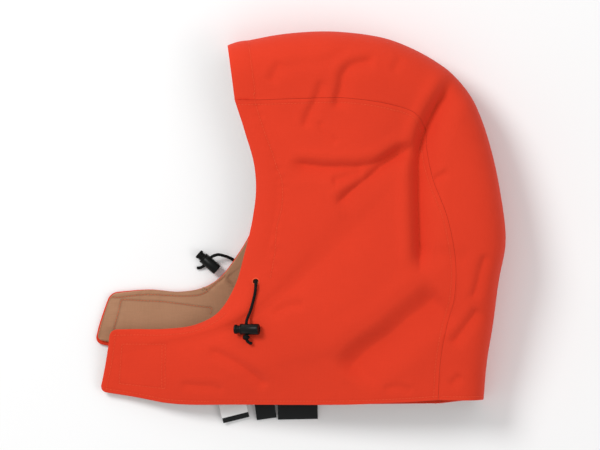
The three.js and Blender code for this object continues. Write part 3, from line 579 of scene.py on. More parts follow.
def detail_centre(points, from_brow, from_hem, w):
    upper = smooth(0.6, 0.4, w)
    height = upper * (0.5 * noise(points, 46.0, 3) + 0.22 * noise(points, 19.0, 4))
    casing = np.exp(-(((from_brow - CASING_WIDTH) / GROOVE_WIDTH) ** 2))
    hem = np.exp(-(((from_hem - HEM_STITCH) / GROOVE_WIDTH) ** 2))
    puff = np.sin(math.pi * np.clip(from_brow / CASING_WIDTH, 0, 1))
    stitch_and_hole_shade = np.maximum(casing, hem)
    return height - STITCH_GROOVE * stitch_and_hole_shade + puff * smooth(1.0, 0.8, w), stitch_and_hole_shade


def detail_far(points):
    return stitched_relief(points, [(line, 0) for line in UNDER_LINES], 0, 0.5)


def detail_far_lining(points):
    """How far the lining's two faces move inwards, and how near each point is to a stitch line."""
    height = 0.45 * noise(points, 38.0, 11) + 0.25 * noise(points, 15.0, 12)
    height, stitch_and_hole_shade = stitched_relief(points, LINING_PUCKERS, height, 1.3)
    distance, along, side = segment_distance(points, facing_step)
    ends = smooth(0, 0.1, along) * smooth(1, 0.9, along)
    step = np.clip(0.5 - side * distance / 1.6, 0, 1)
    near_step = np.exp(-((distance / 14.0) ** 2))
    return 0, height + FACING_DEEP * ends * near_step * (step - 0.5), stitch_and_hole_shade


def detail_near_lining(points):
    """The drawcord's tunnel is open below the eyelet, so the whole lining gives way there, and the lining
    under the hole is painted dark as the shade inside it.
    """
    distance = np.hypot(points[..., 0] - eyelet_at[0], points[..., 1] - eyelet_at[1])
    hollow = HOLLOW_DEEP * np.exp(-((distance / 8.0) ** 2))
    # The third value is painted shade: the lining under the eyelet hole is darkened.
    return hollow, hollow, np.exp(-((distance / 6.0) ** 4))


def shares(length, first, last, middle):
    """Shares of lines of those lengths: rows at the offsets from their two ends, and even ones between."""
    length = np.asarray(length, float)
    start = np.array(first)[:, None] / length
    end = 1 - np.array(last)[::-1, None] / length
    between = np.linspace(0, 1, middle + 2)[1:-1, None]
    return np.vstack([start, start[-1] + (end[0] - start[-1]) * between, end])


def line_lengths(points, axis):
    return np.linalg.norm(np.diff(points, axis=axis), axis=-1).sum(axis)


def grid_of(panel, step, leads):
    """A panel's grid: leads are the offsets of its rows at the seam, the other side, the brow and the hem."""
    surface = SURFACES[panel]
    seam, other, brow, hem = leads
    even = np.linspace(0, 1, 41)
    s, t = np.meshgrid(even, even, indexing="ij")
    points = surface(s, t)
    along_lengths, across_lengths = line_lengths(points, 1), line_lengths(points, 0)
    columns = max(4, round((along_lengths.max() - brow[-1] - hem[-1]) / step) - 1)
    rows = max(4, round((across_lengths.max() - seam[-1] - other[-1]) / step) - 1)
    s_even = shares(np.array([across_lengths.mean()]), seam, other, rows)[:, 0]
    t_even = shares(np.array([along_lengths.mean()]), brow, hem, columns)[:, 0]
    t_grid = shares(np.interp(s_even, even, along_lengths), brow, hem, columns).T
    s_grid = shares(np.interp(t_even, even, across_lengths), seam, other, rows)
    from_sides = np.full((len(s_even), len(t_even)), 1e9)
    from_seams = from_sides.copy()
    for j, offset in enumerate(brow):
        from_sides[:, j] = np.minimum(from_sides[:, j], offset - brow[0])
    for j, offset in enumerate(hem):
        from_sides[:, -1 - j] = np.minimum(from_sides[:, -1 - j], offset - hem[0])
    for i, offset in enumerate(seam):
        from_seams[i] = offset - seam[0]
    beside = from_seams if panel == "centre" else from_sides
    for i, offset in enumerate(other):
        beside[-1 - i] = np.minimum(beside[-1 - i], offset - other[0])
    return s_grid, t_grid, from_sides, from_seams


def shifted(lead, amount):
    return [offset + amount for offset in lead]


def grid_normals(points, out):
    across, along = np.gradient(points, axis=0), np.gradient(points, axis=1)
    return unit(np.cross(across, along)) * out


def blended(normals, others, distance, reach):
    """Normals that turn into others as the distance falls from reach to 0."""
    share = smooth(reach, 0.0, distance)[..., None]
    return unit(normals * (1 - share) + others * share)


def panel_faces(panel, step, leads, detail):
    """A panel's outer face with its folds: points, normals for its thickness, parameters and masks."""
    s, t, from_sides, from_seams = grid_of(panel, step, leads)
    points = SURFACES[panel](s, t)
    bare = surface_normal(panel, s, t)
    weave = points[..., :2].copy()
    from_seam = np.cumsum(np.linalg.norm(np.diff(points, axis=0, prepend=points[:1]), axis=-1), axis=0)
    from_brow = np.cumsum(np.linalg.norm(np.diff(points, axis=1, prepend=points[:, :1]), axis=-1), axis=1)
    from_seam += leads[0][0]
    from_brow += leads[2][0]
    from_far = from_seam[-1:] + leads[1][0] - from_seam
    stitch_and_hole_shade = np.zeros(points.shape[:-1])
    if panel in ("near", "centre"):
        bare = blended(bare, seam_normal(t), from_seam, 12.0)
        height = folds(points) if detail else folds_below(points)
        if panel == "near":
            fine, stitch_and_hole_shade = detail_near(points)
        else:
            height = smooth(0.62, 0.35, s) * height
            from_hem = from_brow[:, -1:] + leads[3][0] - from_brow
            fine, stitch_and_hole_shade = detail_centre(points, from_brow, from_hem, s)
            weave = np.stack([from_seam, from_brow], -1)
        points = points + bare * (height + (fine if detail else 0) * smooth(0, 2.0, from_seam))[..., None]
    elif detail:
        fine, stitch_and_hole_shade = detail_far(points)
        points = points + bare * fine[..., None]
    if panel != "near":
        points[..., 2] = np.maximum(points[..., 2], 0)
    normals = grid_normals(points, OUT[panel])
    if panel != "centre":
        points = round_corners(points, CORNER_ROUND - leads[1][0])
    beside = far_seam_normal(t) if panel == "far" else seam_normal(t)
    normals = blended(normals, beside, from_seam, 6.0)
    if panel == "centre":
        normals = blended(normals, far_seam_normal(t), from_far, 6.0)
    return points, normals, weave, stitch_and_hole_shade, from_sides, from_seams


def mesh_object(name, points, faces, material, attributes=None, smooth_shaded=True):
    """An object from points in millimetres and faces as lists or an array of indices."""
    mesh = bpy.data.meshes.new(name)
    faces = faces.tolist() if isinstance(faces, np.ndarray) else faces
    mesh.from_pydata(to_frame(points).tolist(), [], faces)
    for key, values in (attributes or {}).items():
        values = np.asarray(values, np.float32)
        if values.ndim == 1:
            mesh.attributes.new(key, "FLOAT", "POINT").data.foreach_set("value", values)
        else:
            wide = np.zeros((len(values), 3), np.float32)
            wide[:, : values.shape[1]] = values
            mesh.attributes.new(key, "FLOAT_VECTOR", "POINT").data.foreach_set("vector", wide.ravel())
    mesh.polygons.foreach_set("use_smooth", [smooth_shaded] * len(mesh.polygons))
    mesh.validate()
    made = bpy.data.objects.new(name, mesh)
    bpy.context.scene.collection.objects.link(made)
    made.data.materials.append(material)
    return made


def closed_sheet(outer, inner, out, attributes):
    """Points, faces and attributes of a sheet whose outer and inner faces share their border."""
    rows, columns = outer.shape[:2]
    outer_ids = np.arange(rows * columns).reshape(rows, columns)
    inner_ids = outer_ids.copy()
    inside = (slice(1, -1), slice(1, -1))
    count = (rows - 2) * (columns - 2)
    inner_ids[inside] = rows * columns + np.arange(count).reshape(rows - 2, columns - 2)
    points = np.vstack([outer.reshape(-1, 3), inner[inside].reshape(-1, 3)])

    def quads(ids):
        return np.stack([ids[:-1, :-1], ids[1:, :-1], ids[1:, 1:], ids[:-1, 1:]], -1).reshape(-1, 4)

    front, back = quads(outer_ids), quads(inner_ids)
    faces = np.vstack([front, back[:, ::-1]] if out > 0 else [front[:, ::-1], back])
    made = {}
    for key, values in attributes.items():
        tail = values.shape[2:]
        made[key] = np.concatenate([values.reshape(-1, *tail), values[inside].reshape(-1, *tail)])
    return points, faces, made


def rounded(from_sides, thickness):
    """How far a sheet's faces draw in near its border, so that its rim is half round."""
    radius = thickness / 2
    short = np.clip(radius - from_sides, 0, radius)
    return radius - np.sqrt(radius * radius - short * short)


def round_corners(points, radius):
    """Turns the two corners at a panel's tab end into round ones, by drawing in the grid near them."""
    across = np.linalg.norm(np.diff(points, axis=0, append=points[-1:]), axis=-1)
    from_end = np.cumsum(across[::-1], axis=0)[::-1]
    along = np.linalg.norm(np.diff(points, axis=1, append=points[:, -1:]), axis=-1)
    from_hem = np.cumsum(along[:, ::-1], axis=1)[:, ::-1]
    from_brow = from_hem[:, :1] - from_hem
    towards_end = unit(np.gradient(points, axis=0))
    towards_hem = unit(np.gradient(points, axis=1))
    for from_side, direction in ((from_hem, towards_hem), (from_brow, -towards_hem)):
        u = np.clip(1 - from_end / radius, 0, 1)
        v = np.clip(1 - from_side / radius, 0, 1)
        shift_u = u * (np.sqrt(1 - v * v / 2) - 1)
        shift_v = v * (np.sqrt(1 - u * u / 2) - 1)
        points = points + radius * (shift_u[..., None] * towards_end + shift_v[..., None] * direction)
    return points


def seam_rim(from_seams, thickness):
    """The same along a seam, where only the corner of the rim is rounded."""
    short = np.clip(1 - from_seams / SEAM_ROUND, 0, 1)
    return np.where(from_seams < 1e-6, thickness / 2, SEAM_SINK * (1 - np.sqrt(1 - short * short)))


def cloth_layer(name, panel, depth, thickness, step, leads, material, detail, relief=None):
    """One layer of a panel, from its depth below the panel's outer face on."""
    points, normals, weave, stitch_and_hole_shade, from_sides, from_seams = panel_faces(panel, step, leads, detail)
    outer_sink, inner_sink = 0, 0
    if relief is not None:
        outer_sink, inner_sink, stitch_and_hole_shade = relief(points)
    draw = np.maximum(rounded(from_sides, thickness), seam_rim(from_seams, thickness))
    outer = points - normals * (depth + draw + outer_sink)[..., None]
    inner = points - normals * (depth + thickness - draw)[..., None]
    inner = inner - normals * (inner_sink * smooth(0, 3.0, np.minimum(from_sides, from_seams)))[..., None]
    # The mask of painted shade goes in as an attribute: along stitch grooves, and on the near lining under
    # the eyelet hole.
    attributes = {"weave": weave, "stitch_and_hole_shade": stitch_and_hole_shade, "rim": np.exp(-from_sides / 2.0)}
    points, faces, made = closed_sheet(outer, inner, OUT[panel], attributes)
    return mesh_object(name, points, faces, material, made)


# Materials
class Shading:
    """A material and short calls for the nodes that it is made of."""

    def __init__(self, name):
        self.material = bpy.data.materials.new(name)
        self.material.use_nodes = True
        self.nodes = self.material.node_tree.nodes
        self.shader = self.nodes["Principled BSDF"]
        self.where = self.nodes.new("ShaderNodeTexCoord").outputs["Object"]

    def put(self, value, socket):
        """Links an output to a socket, or sets a plain number or colour on it."""
        if isinstance(value, (int, float)):
            socket.default_value = value
        elif isinstance(value, tuple):
            socket.default_value = value if len(value) == len(socket.default_value) else (*value, 1)
        else:
            self.material.node_tree.links.new(value, socket)

    def attribute(self, name):
        made = self.nodes.new("ShaderNodeAttribute")
        made.attribute_name = name
        return made

    def math(self, operation, a, b=None):
        made = self.nodes.new("ShaderNodeMath")
        made.operation = operation
        self.put(a, made.inputs[0])
        if b is not None:
            self.put(b, made.inputs[1])
        return made.outputs[0]

    def noise(self, scale, detail, vector):
        made = self.nodes.new("ShaderNodeTexNoise")
        self.put(scale, made.inputs["Scale"])
        self.put(detail, made.inputs["Detail"])
        self.put(vector, made.inputs["Vector"])
        return made.outputs["Fac"]

    def mapped(self, value, low, high, to_low, to_high):
        made = self.nodes.new("ShaderNodeMapRange")
        keys = ("Value", "From Min", "From Max", "To Min", "To Max")
        for key, number in zip(keys, (value, low, high, to_low, to_high)):
            self.put(number, made.inputs[key])
        return made.outputs["Result"]

    def mix(self, factor, a, b):
        made = self.nodes.new("ShaderNodeMix")
        made.data_type = "RGBA"
        for value, socket in ((factor, made.inputs[0]), (a, made.inputs[6]), (b, made.inputs[7])):
            self.put(value, socket)
        return made.outputs[2]

    def finish(self, colour, rough, height, strength, relief, specular, sheen):
        """Colour, roughness, a bump of relief millimetres, and gloss and sheen that are even all over."""
        bump = self.nodes.new("ShaderNodeBump")
        self.put(strength, bump.inputs["Strength"])
        self.put(relief / METRE, bump.inputs["Distance"])
        self.put(height, bump.inputs["Height"])
        self.put(colour, self.shader.inputs["Base Color"])
        self.put(rough, self.shader.inputs["Roughness"])
        self.put(bump.outputs["Normal"], self.shader.inputs["Normal"])
        self.put(specular, self.shader.inputs["Specular IOR Level"])
        self.put(sheen, self.shader.inputs["Sheen Weight"])
        return self.material


def woven_material(name, light, dark, pitch, relief, roughness, sheen, fuzz=0, stitch_shade_keep=0.95):
    """Cloth with a woven relief in its own millimetres, slubs, soft blotches, and painted shade along stitch
    lines and, on the lining, under the eyelet hole.
    """
    made = Shading(name)
    weave, stitch_and_hole_shade, rim = (made.attribute(key) for key in ("weave", "stitch_and_hole_shade", "rim"))
    split = made.nodes.new("ShaderNodeSeparateXYZ")
    made.put(weave.outputs["Vector"], split.inputs[0])
    waves = [made.math("SINE", made.math("MULTIPLY", split.outputs[axis], math.pi / pitch)) for axis in "XY"]
    product = made.math("MULTIPLY", *waves)
    slubs = []
    for stretch in ((1.0, 0.06, 1.0), (0.06, 1.0, 1.0)):
        mapping = made.nodes.new("ShaderNodeMapping")
        made.put(stretch, mapping.inputs["Scale"])
        made.put(weave.outputs["Vector"], mapping.inputs["Vector"])
        slubs.append(made.noise(1.1, 2.0, mapping.outputs["Vector"]))
    threads = made.math("ADD", *slubs)
    blotches = made.noise(16.0, 3.0, made.where)
    tone = made.mapped(made.math("ADD", made.math("MULTIPLY", threads, 0.5), blotches), 0.5, 1.5, 0.0, 1.0)
    worn = made.math("MULTIPLY", rim.outputs["Fac"], 0.18)
    colour = made.mix(worn, made.mix(tone, dark, light), tuple(min(1, 1.12 * c + 0.01) for c in light))
    # Painted shade: the colour darkens along stitch grooves and, on the near lining, in the hole under the
    # eyelet.
    sunk = made.math("MULTIPLY", stitch_and_hole_shade.outputs["Fac"], 1 - stitch_shade_keep)
    colour = made.mix(sunk, colour, tuple(0.3 * c for c in dark))
    grain = made.noise(900.0, 3.0, made.where)
    rough = made.mapped(grain, 0.3, 0.7, roughness - 0.06, min(1, roughness + 0.06))
    height = made.math("ADD", made.math("MULTIPLY", product, product), made.math("MULTIPLY", threads, 0.5))
    if fuzz:
        height = made.math("ADD", height, made.math("MULTIPLY", made.noise(420.0, 4.0, made.where), fuzz))
    made.put(0.5, made.shader.inputs["Sheen Roughness"])
    return made.finish(colour, rough, height, 0.6, relief, 0.2, sheen)


def plain_material(name, light, dark, roughness, scale, relief, specular):
    """A moulded, spun or painted surface with fine grain and slight wear."""
    made = Shading(name)
    grain = made.noise(scale, 3.0, made.where)
    blotches = made.mapped(made.noise(scale / 14, 2.0, made.where), 0.3, 0.7, 0.0, 1.0)
    rough = made.mapped(grain, 0.3, 0.7, roughness - 0.08, roughness + 0.08)
    return made.finish(made.mix(blotches, dark, light), rough, grain, 0.4, relief, specular, 0)


# Name, light and dark tone, then for cloth the weave's pitch, relief, roughness and sheen, and for the others
# roughness, grain, relief and gloss
DUCK_TONES = (0.72, 0.042, 0.0132), (0.65, 0.037, 0.0118)
DUCK = woven_material("orange_duck", *DUCK_TONES, WEAVE, 0.1, 0.88, 0.04)
FLEECE_TONES = (0.45, 0.235, 0.134), (0.355, 0.178, 0.097)
# The lining gets strong painted shade along its stitch lines and under the eyelet hole.
FLEECE = woven_material("tan_fleece", *FLEECE_TONES, 1.1, 0.16, 0.95, 0.2, fuzz=1.6, stitch_shade_keep=0.6)
TAPE_TONES = (0.56, 0.07, 0.03), (0.46, 0.05, 0.022)
TAPE = woven_material("closure_tape", *TAPE_TONES, 1.3, 0.3, 0.9, 0.3, fuzz=1.2)
WHITE_TONES = (0.9, 0.9, 0.89), (0.84, 0.84, 0.83)
WHITE_LABEL = woven_material("white_label", *WHITE_TONES, 0.45, 0.05, 0.7, 0.1)
BLACK_TONES = (0.008, 0.0095, 0.0095), (0.005, 0.006, 0.006)
BLACK_LABEL = woven_material("black_label", *BLACK_TONES, 0.45, 0.05, 0.6, 0.1)
THREAD_TONES = (0.84, 0.1, 0.036), (0.74, 0.075, 0.028)
THREAD_MATERIAL = plain_material("orange_thread", *THREAD_TONES, 0.7, 1800, 0.05, 0.2)
TAN_THREAD_TONES = (0.72, 0.16, 0.06), (0.6, 0.11, 0.045)
TAN_THREAD = plain_material("orange_thread_on_tan", *TAN_THREAD_TONES, 0.6, 1800, 0.05, 0.3)
CORD_TONES = (0.007, 0.0075, 0.007), (0.004, 0.0043, 0.004)
CORD_MATERIAL = plain_material("black_cord", *CORD_TONES, 0.75, 1500, 0.05, 0.12)
PLASTIC_TONES = (0.0055, 0.0065, 0.0058), (0.004, 0.0047, 0.0042)
PLASTIC = plain_material("black_plastic", *PLASTIC_TONES, 0.36, 2600, 0.02, 0.14)
FLOOR_TONES = (0.93, 0.93, 0.93), (0.91, 0.91, 0.91)
FLOOR_FINISH = plain_material("floor", *FLOOR_TONES, 0.9, 40, 0.01, 0.1)

# Camera, light and floor
camera = bpy.data.objects.new("camera", bpy.data.cameras.new("camera"))
bpy.context.scene.collection.objects.link(camera)
camera.location = (*VIEW_CENTRE, CAMERA_HEIGHT)
camera.data.sensor_width = SENSOR
camera.data.lens = SENSOR * (CAMERA_HEIGHT - MIDDLE_HEIGHT) / VIEW_WIDTH
camera.data.clip_end = 50
bpy.context.scene.camera = camera
bpy.context.scene.view_settings.view_transform = "Standard"

world = bpy.data.worlds.new("studio")
world.use_nodes = True
world.node_tree.nodes["Background"].inputs["Color"].default_value = (1, 1, 1, 1)
world.node_tree.nodes["Background"].inputs["Strength"].default_value = WORLD_LIGHT
bpy.context.scene.world = world


def area_light(name, place_at, size, power):
    data = bpy.data.lights.new(name, "AREA")
    data.shape = "DISK"
    data.size = size
    data.energy = power
    light = bpy.data.objects.new(name, data)
    bpy.context.scene.collection.objects.link(light)
    light.location = place_at
    light.rotation_euler = (Vector(LIGHT_TARGET) - Vector(place_at)).to_track_quat("-Z", "Y").to_euler()


area_light("key", *KEY_LIGHT)
area_light("fill", *FILL_LIGHT)

floor_mesh = bpy.data.meshes.new("floor")
floor_corners = [(x * FLOOR_HALF, y * FLOOR_HALF, FLOOR_LEVEL) for x, y in SQUARE]
floor_mesh.from_pydata(floor_corners, [], [(0, 1, 2, 3)])
floor = bpy.data.objects.new("floor", floor_mesh)
bpy.context.scene.collection.objects.link(floor)
floor.data.materials.append(FLOOR_FINISH)

# The cloth of the hood
NEAR_LEADS = [
    shifted(SEAM_LEAD, SEAM_GAP / 2),
    EDGE_LEAD,
    EDGE_LEAD + [8, 12, 16, 19, 21, 22, 23, 25],
    EDGE_LEAD,
]
CENTRE_LEADS = [
    shifted(PLAIN_LEAD, SEAM_GAP / 2),
    shifted(PLAIN_LEAD, SEAM_GAP / 2),
    EDGE_LEAD + [8, 12, 16, 19, 21, 21.5, 22, 22.5, 23, 25],
    EDGE_LEAD,
]
FAR_LEADS = [shifted(SEAM_LEAD, SEAM_GAP / 2), EDGE_LEAD, EDGE_LEAD, EDGE_LEAD]


def lining_leads(panel):
    seam = shifted(PLAIN_LEAD, SEAM_GAP / 2)
    edge = shifted(PLAIN_LEAD, RIM)
    if panel == "centre":
        return [seam, seam, edge, shifted(PLAIN_LEAD, TURNED_HEM)]
    return [seam, edge, edge, shifted(PLAIN_LEAD, FAR_TURNED_HEM if panel == "far" else RIM)]


def keep(made, body, slot, *nodes):
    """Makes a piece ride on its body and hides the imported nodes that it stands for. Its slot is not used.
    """
    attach(made, body)
    if nodes:
        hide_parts(*nodes)
    return made


shells = {}
for panel, name, leads in (
    ("near", "shell_near_side", NEAR_LEADS),
    ("centre", "shell_centre", CENTRE_LEADS),
    ("far", "shell_far_side", FAR_LEADS),
):
    step = UNDER_STEP if panel == "far" else FINE_STEP
    shells[panel] = cloth_layer(f"cloth_{name}", panel, 0, SHELL, step, leads, DUCK, True)
    keep(shells[panel], "hood", "orange_duck", name)
linings = {}
for panel, name in (("near", "lining_near_side"), ("centre", "lining_centre"), ("far", "lining_far_side")):
    step = TAB_LINING_STEP if panel == "far" else LINING_STEP
    relief = {"far": detail_far_lining, "near": detail_near_lining}.get(panel)
    size = (SHELL + LINING_SEAT, LINING + LAYER_GAP - LINING_SEAT, step, lining_leads(panel))
    linings[panel] = cloth_layer(f"cloth_{name}", panel, *size, FLEECE, False, relief)
    keep(linings[panel], "hood", "tan_fleece", name)


def panel_cut(panel):
    """A panel's flat width, length and area in metres, as it was cut out."""
    even = np.linspace(0, 1, 81)
    s, t = np.meshgrid(even, even, indexing="ij")
    points = SURFACES[panel](s, t) / METRE
    u, v = points[1:, 1:] - points[:-1, :-1], points[1:, :-1] - points[:-1, 1:]
    area = np.linalg.norm(np.cross(u, v), axis=-1).sum() / 2
    return (float(line_lengths(points, 0).max()), float(line_lengths(points, 1).max())), float(area)


for panel in SURFACES:
    flat, area = panel_cut(panel)
    below = [linings["far"].name] if panel == "near" else [shells[panel].name]


def tree_of(*objects):
    points, faces = [], []
    for made in objects:
        base = len(points)
        points.extend(Vector(from_frame(v.co)) for v in made.data.vertices)
        faces.extend(tuple(base + i for i in p.vertices) for p in made.data.polygons)
    return BVHTree.FromPolygons(points, faces)


upper_tree = tree_of(shells["near"], shells["centre"])
far_lining_tree = tree_of(linings["far"])
near_lining_tree = tree_of(linings["near"])
under_tree = tree_of(shells["far"], shells["centre"])


def hit(tree, x, y, from_above=True):
    """Where a vertical ray meets the cloth, and the cloth's direction there, or None."""
    start = Vector((x, y, 2 * LIE_HEIGHT if from_above else -LIE_HEIGHT))
    point, normal, _, _ = tree.ray_cast(start, Vector((0, 0, -1 if from_above else 1)))
    if point is None:
        return None
    point, normal = np.array(point), np.array(normal)
    return point, normal if (normal[2] > 0) == from_above else -normal


def circle(count):
    """Even angles of one turn."""
    return np.arange(count) * 2 * math.pi / count


def ring_faces(rows, around):
    """The sides and the two ends of a tube of rings."""
    faces = []
    for r in range(rows - 1):
        for k in range(around):
            a, b = r * around + k, r * around + (k + 1) % around
            faces.append((a, b, b + around, a + around))
    faces.append(tuple(reversed(range(around))))
    faces.append(tuple((rows - 1) * around + k for k in range(around)))
    return faces


# Stitches
def on_cloth(tree, point, from_above):
    """The cloth's point and direction above or below a point, or nearest to it where from_above is None."""
    if from_above is not None:
        return hit(tree, point[0], point[1], from_above)
    near, _, _, _ = tree.find_nearest(Vector(point))
    near = np.array(near)
    return near, unit(point - near)


def stitch_mesh(name, runs, material):
    """One mesh of short rounded threads along lines on the cloth: each run is a line, a tree and a side."""
    rings = [(-0.5, 0.35), (-0.36, 0.9), (0.0, 1.0), (0.36, 0.9), (0.5, 0.35)]
    angles = circle(STITCH_SIDES)
    points, faces = [], []
    for line, tree, from_above in runs:
        walked = walked_of(line)
        for middle in np.arange(STITCH_PITCH / 2, walked[-1], STITCH_PITCH):
            ends = []
            for shift in (-0.5, 0.5):
                where = middle + shift * STITCH_LENGTH
                point = np.array([np.interp(where, walked, line[:, k]) for k in range(line.shape[1])])
                ends.append(on_cloth(tree, point, from_above))
            if ends[0] is None or ends[1] is None:
                continue
            (a, up), (b, other) = ends
            if np.linalg.norm(b - a) > 1.6 * STITCH_LENGTH:
                continue
            up = unit(up + other)
            direction = unit(b - a)
            side = np.cross(up, direction)
            base = len(points)
            for along, wide in rings:
                mid = (a + b) / 2 + direction * along * STITCH_LENGTH
                mid = mid + up * (0.1 * THREAD + 0.22 * THREAD * (1 - (2 * along) ** 2))
                for angle in angles:
                    turned = side * math.cos(angle) + up * 0.8 * math.sin(angle)
                    points.append(mid + turned * wide * THREAD / 2)
            faces.extend(tuple(base + i for i in face) for face in ring_faces(len(rings), STITCH_SIDES))
    points = np.array(points)
    points[:, 2] = np.maximum(points[:, 2], 0)
    return mesh_object(name, points, faces, material)


def centre_line(from_brow, from_hem=None):
    """A line across the centre panel, a little above its face, at one distance from the brow or the hem."""
    line = []
    t = np.linspace(0, 1, 400)
    for w in np.linspace(0.015, 0.985, 120):
        course = centre(np.full_like(t, w), t)
        walked = walked_of(course)
        where = np.interp(from_brow if from_hem is None else walked[-1] - from_hem, walked, t)
        at, across = np.array([[where]]), np.array([[w]])
        line.append((centre(across, at) + 2.5 * surface_normal("centre", across, at))[0, 0])
    return np.array(line)


centre_tree = tree_of(shells["centre"])
centre_runs = [(line, centre_tree, None) for line in (centre_line(CASING_WIDTH), centre_line(0, HEM_STITCH))]
upper_runs = [(line, upper_tree, True) for line, _ in NEAR_PUCKERS] + centre_runs
lining_runs = [(line, far_lining_tree, True) for line, _ in LINING_PUCKERS]
under_runs = [(line, under_tree, False) for line in UNDER_LINES]
for name, runs, thread in (
    ("stitching_upper", upper_runs, THREAD_MATERIAL),
    ("stitching_lining", lining_runs, TAN_THREAD),
    ("stitching_under", under_runs, THREAD_MATERIAL),
):
    keep(stitch_mesh(name, runs, thread), "hood", "orange_stitching")


# Eyelets: satin-stitched rings
def facing(point, direction):
    turn = Vector((0, 0, 1)).rotation_difference(Vector(direction)).to_matrix()
    return lambda points: np.asarray(points) @ np.array(turn).T + point


def eyelet(name, seat, normal):
    around = 8 * EYELET_THREADS
    angles = circle(around)
    profile = [(1.25, -0.2), (1.15, 0.25), (0.85, 0.62), (0.5, 0.8)]
    profile += [(0.18, 0.68), (0, 0.3), (-0.08, -0.6), (0, -1.9)]
    points = []
    ridge = np.abs(np.sin(EYELET_THREADS * angles / 2)) ** 0.6
    for across, up in profile:
        share = across / 1.25
        band = share * EYELET_BAND * (1 + 0.05 * np.sin(5 * angles) * share)
        radius_x, radius_y = EYELET_LONG / 2 + band, EYELET_WIDE / 2 + band
        height = up * EYELET_RISE - 0.16 * (1 - ridge) * (up > 0)
        points.append(np.stack([radius_x * np.cos(angles), radius_y * np.sin(angles), height], -1))
    rows = len(profile)
    points = np.array(points).reshape(-1, 3)
    here = np.arange(rows * around).reshape(rows, around)
    beside = np.roll(here, -1, axis=1)
    faces = np.stack([here, beside, np.roll(beside, -1, axis=0), np.roll(here, -1, axis=0)], -1)
    return mesh_object(name, facing(seat, normal)(points), faces.reshape(-1, 4), THREAD_MATERIAL)


def cut(made, cutter):
    """Cuts a closed object out of another and drops it."""
    modifier = made.modifiers.new("cut", "BOOLEAN")
    modifier.object = cutter
    modifier.operation = "DIFFERENCE"
    modifier.solver = "EXACT"
    bpy.context.view_layer.update()
    shown = made.evaluated_get(bpy.context.evaluated_depsgraph_get())
    mesh = bpy.data.meshes.new_from_object(shown)
    made.modifiers.clear()
    made.data = mesh
    bpy.data.objects.remove(cutter)


def oval_cutter(seat, normal, half_depth):
    angles = circle(HOLE_SIDES)
    rings = []
    for height in (-half_depth, half_depth):
        flat = np.full(HOLE_SIDES, height)
        rings.append(np.stack([EYELET_LONG / 2 * np.cos(angles), EYELET_WIDE / 2 * np.sin(angles), flat], -1))
    points = facing(seat, normal)(np.vstack(rings))
    return mesh_object("cutter", points, ring_faces(2, HOLE_SIDES), DUCK)


near_eyelet = hit(upper_tree, eyelet_at[0], eyelet_at[1])
far_eyelet = hit(under_tree, eyelet_at[0], eyelet_at[1], False)
for side, seat in (("near", near_eyelet), ("far", far_eyelet)):
    keep(eyelet(f"eyelet_ring_{side}", *seat), "hood", "orange_stitching", f"eyelet_{side}")
    cut(shells[side], oval_cutter(*seat, SHELL + 0.2))


# Cords: braided tubes
def tube(name, path):
    centre_points = Curve(path).steps(CORD_STEP)
    direction = unit(np.gradient(centre_points, axis=0))
    side = unit(np.cross(direction[0], (0.3, 0.2, 1.0)))
    sides_list = []
    for forward in direction:
        side = unit(side - forward * (side @ forward))
        sides_list.append(side)
    side = np.array(sides_list)
    up = np.cross(direction, side)
    angles = circle(CORD_SIDES)
    along = np.arange(len(centre_points))[:, None] * CORD_STEP
    turns = BRAID_STRANDS / 2 * angles[None, :]
    twist = along * 2 * math.pi / BRAID_PITCH
    weave = np.sin(turns + twist) * np.sin(turns - twist)
    radius = CORD / 2 * (1 + BRAID * (np.abs(weave) - 0.5) * 2)
    from_end = np.minimum(along, along[::-1])
    radius = radius * np.sqrt(np.clip(1 - np.clip(1 - from_end / 0.7, 0, 1) ** 2, 0.35, 1))
    ring = side[:, None] * np.cos(angles)[None, :, None] + up[:, None] * np.sin(angles)[None, :, None]
    points = centre_points[:, None] + ring * radius[..., None]
    faces = ring_faces(len(centre_points), CORD_SIDES)
    return mesh_object(name, points.reshape(-1, 3), faces, CORD_MATERIAL), centre_points


barrel_boxes = {side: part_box(f"cord_lock_{side}_barrel") for side in ("near", "far")}
lock_axis = {}
for joint in frame["joints"]:
    side = "near" if "near" in joint["name"] else "far"
    lock_axis[side] = unit(np.array(joint["axis"], float))


def lock_hole(side):
    low, high = barrel_boxes[side]
    middle = from_frame((low + high) / 2)
    return middle + lock_axis[side] * (BARREL_HOLE_AT - BARREL_LENGTH / 2)


def plan(right, down):
    return eyelet_at[0] + right, eyelet_at[1] - down


near_path = []
for right, down, rise in NEAR_CORD_ON_CLOTH:
    x, y = plan(right, down)
    near_path.append((x, y, hit(upper_tree, x, y)[0][2] + rise))
lock_level = lock_hole("near")[2]
for right, down, level in NEAR_CORD_LEVEL:
    near_path.append((*plan(right, down), lock_level + level))
far_path = [(*plan(right, down), height) for right, down, height in FAR_CORD]

near_cord, near_line = tube("cord_near", near_path)
keep(near_cord, "hood", "black_cord", "drawcord_near", "drawcord_near_end")
far_cord, far_line = tube("cord_far", far_path)
keep(far_cord, "hood", "black_cord", "drawcord_far")

knot_middle = np.array([*plan(*KNOT_PLACE), lock_level])
knot_path = []
for share in np.linspace(0, 1, 40):
    angle = 2 * math.pi * KNOT_TURNS * share + 0.6
    out = (KNOT_DIAMETER - CORD) / 2 * min(1, 8 * min(share, 1 - share) + 0.15)
    along = (share - 0.5) * (KNOT_LENGTH - 1.6) * (1 + 0.5 * math.sin(2 * angle))
    knot_path.append(knot_middle + (out * math.cos(angle), -along, out * math.sin(angle)))
knot, _ = tube("cord_knot", knot_path)
keep(knot, "hood", "black_cord", "drawcord_near_knot")


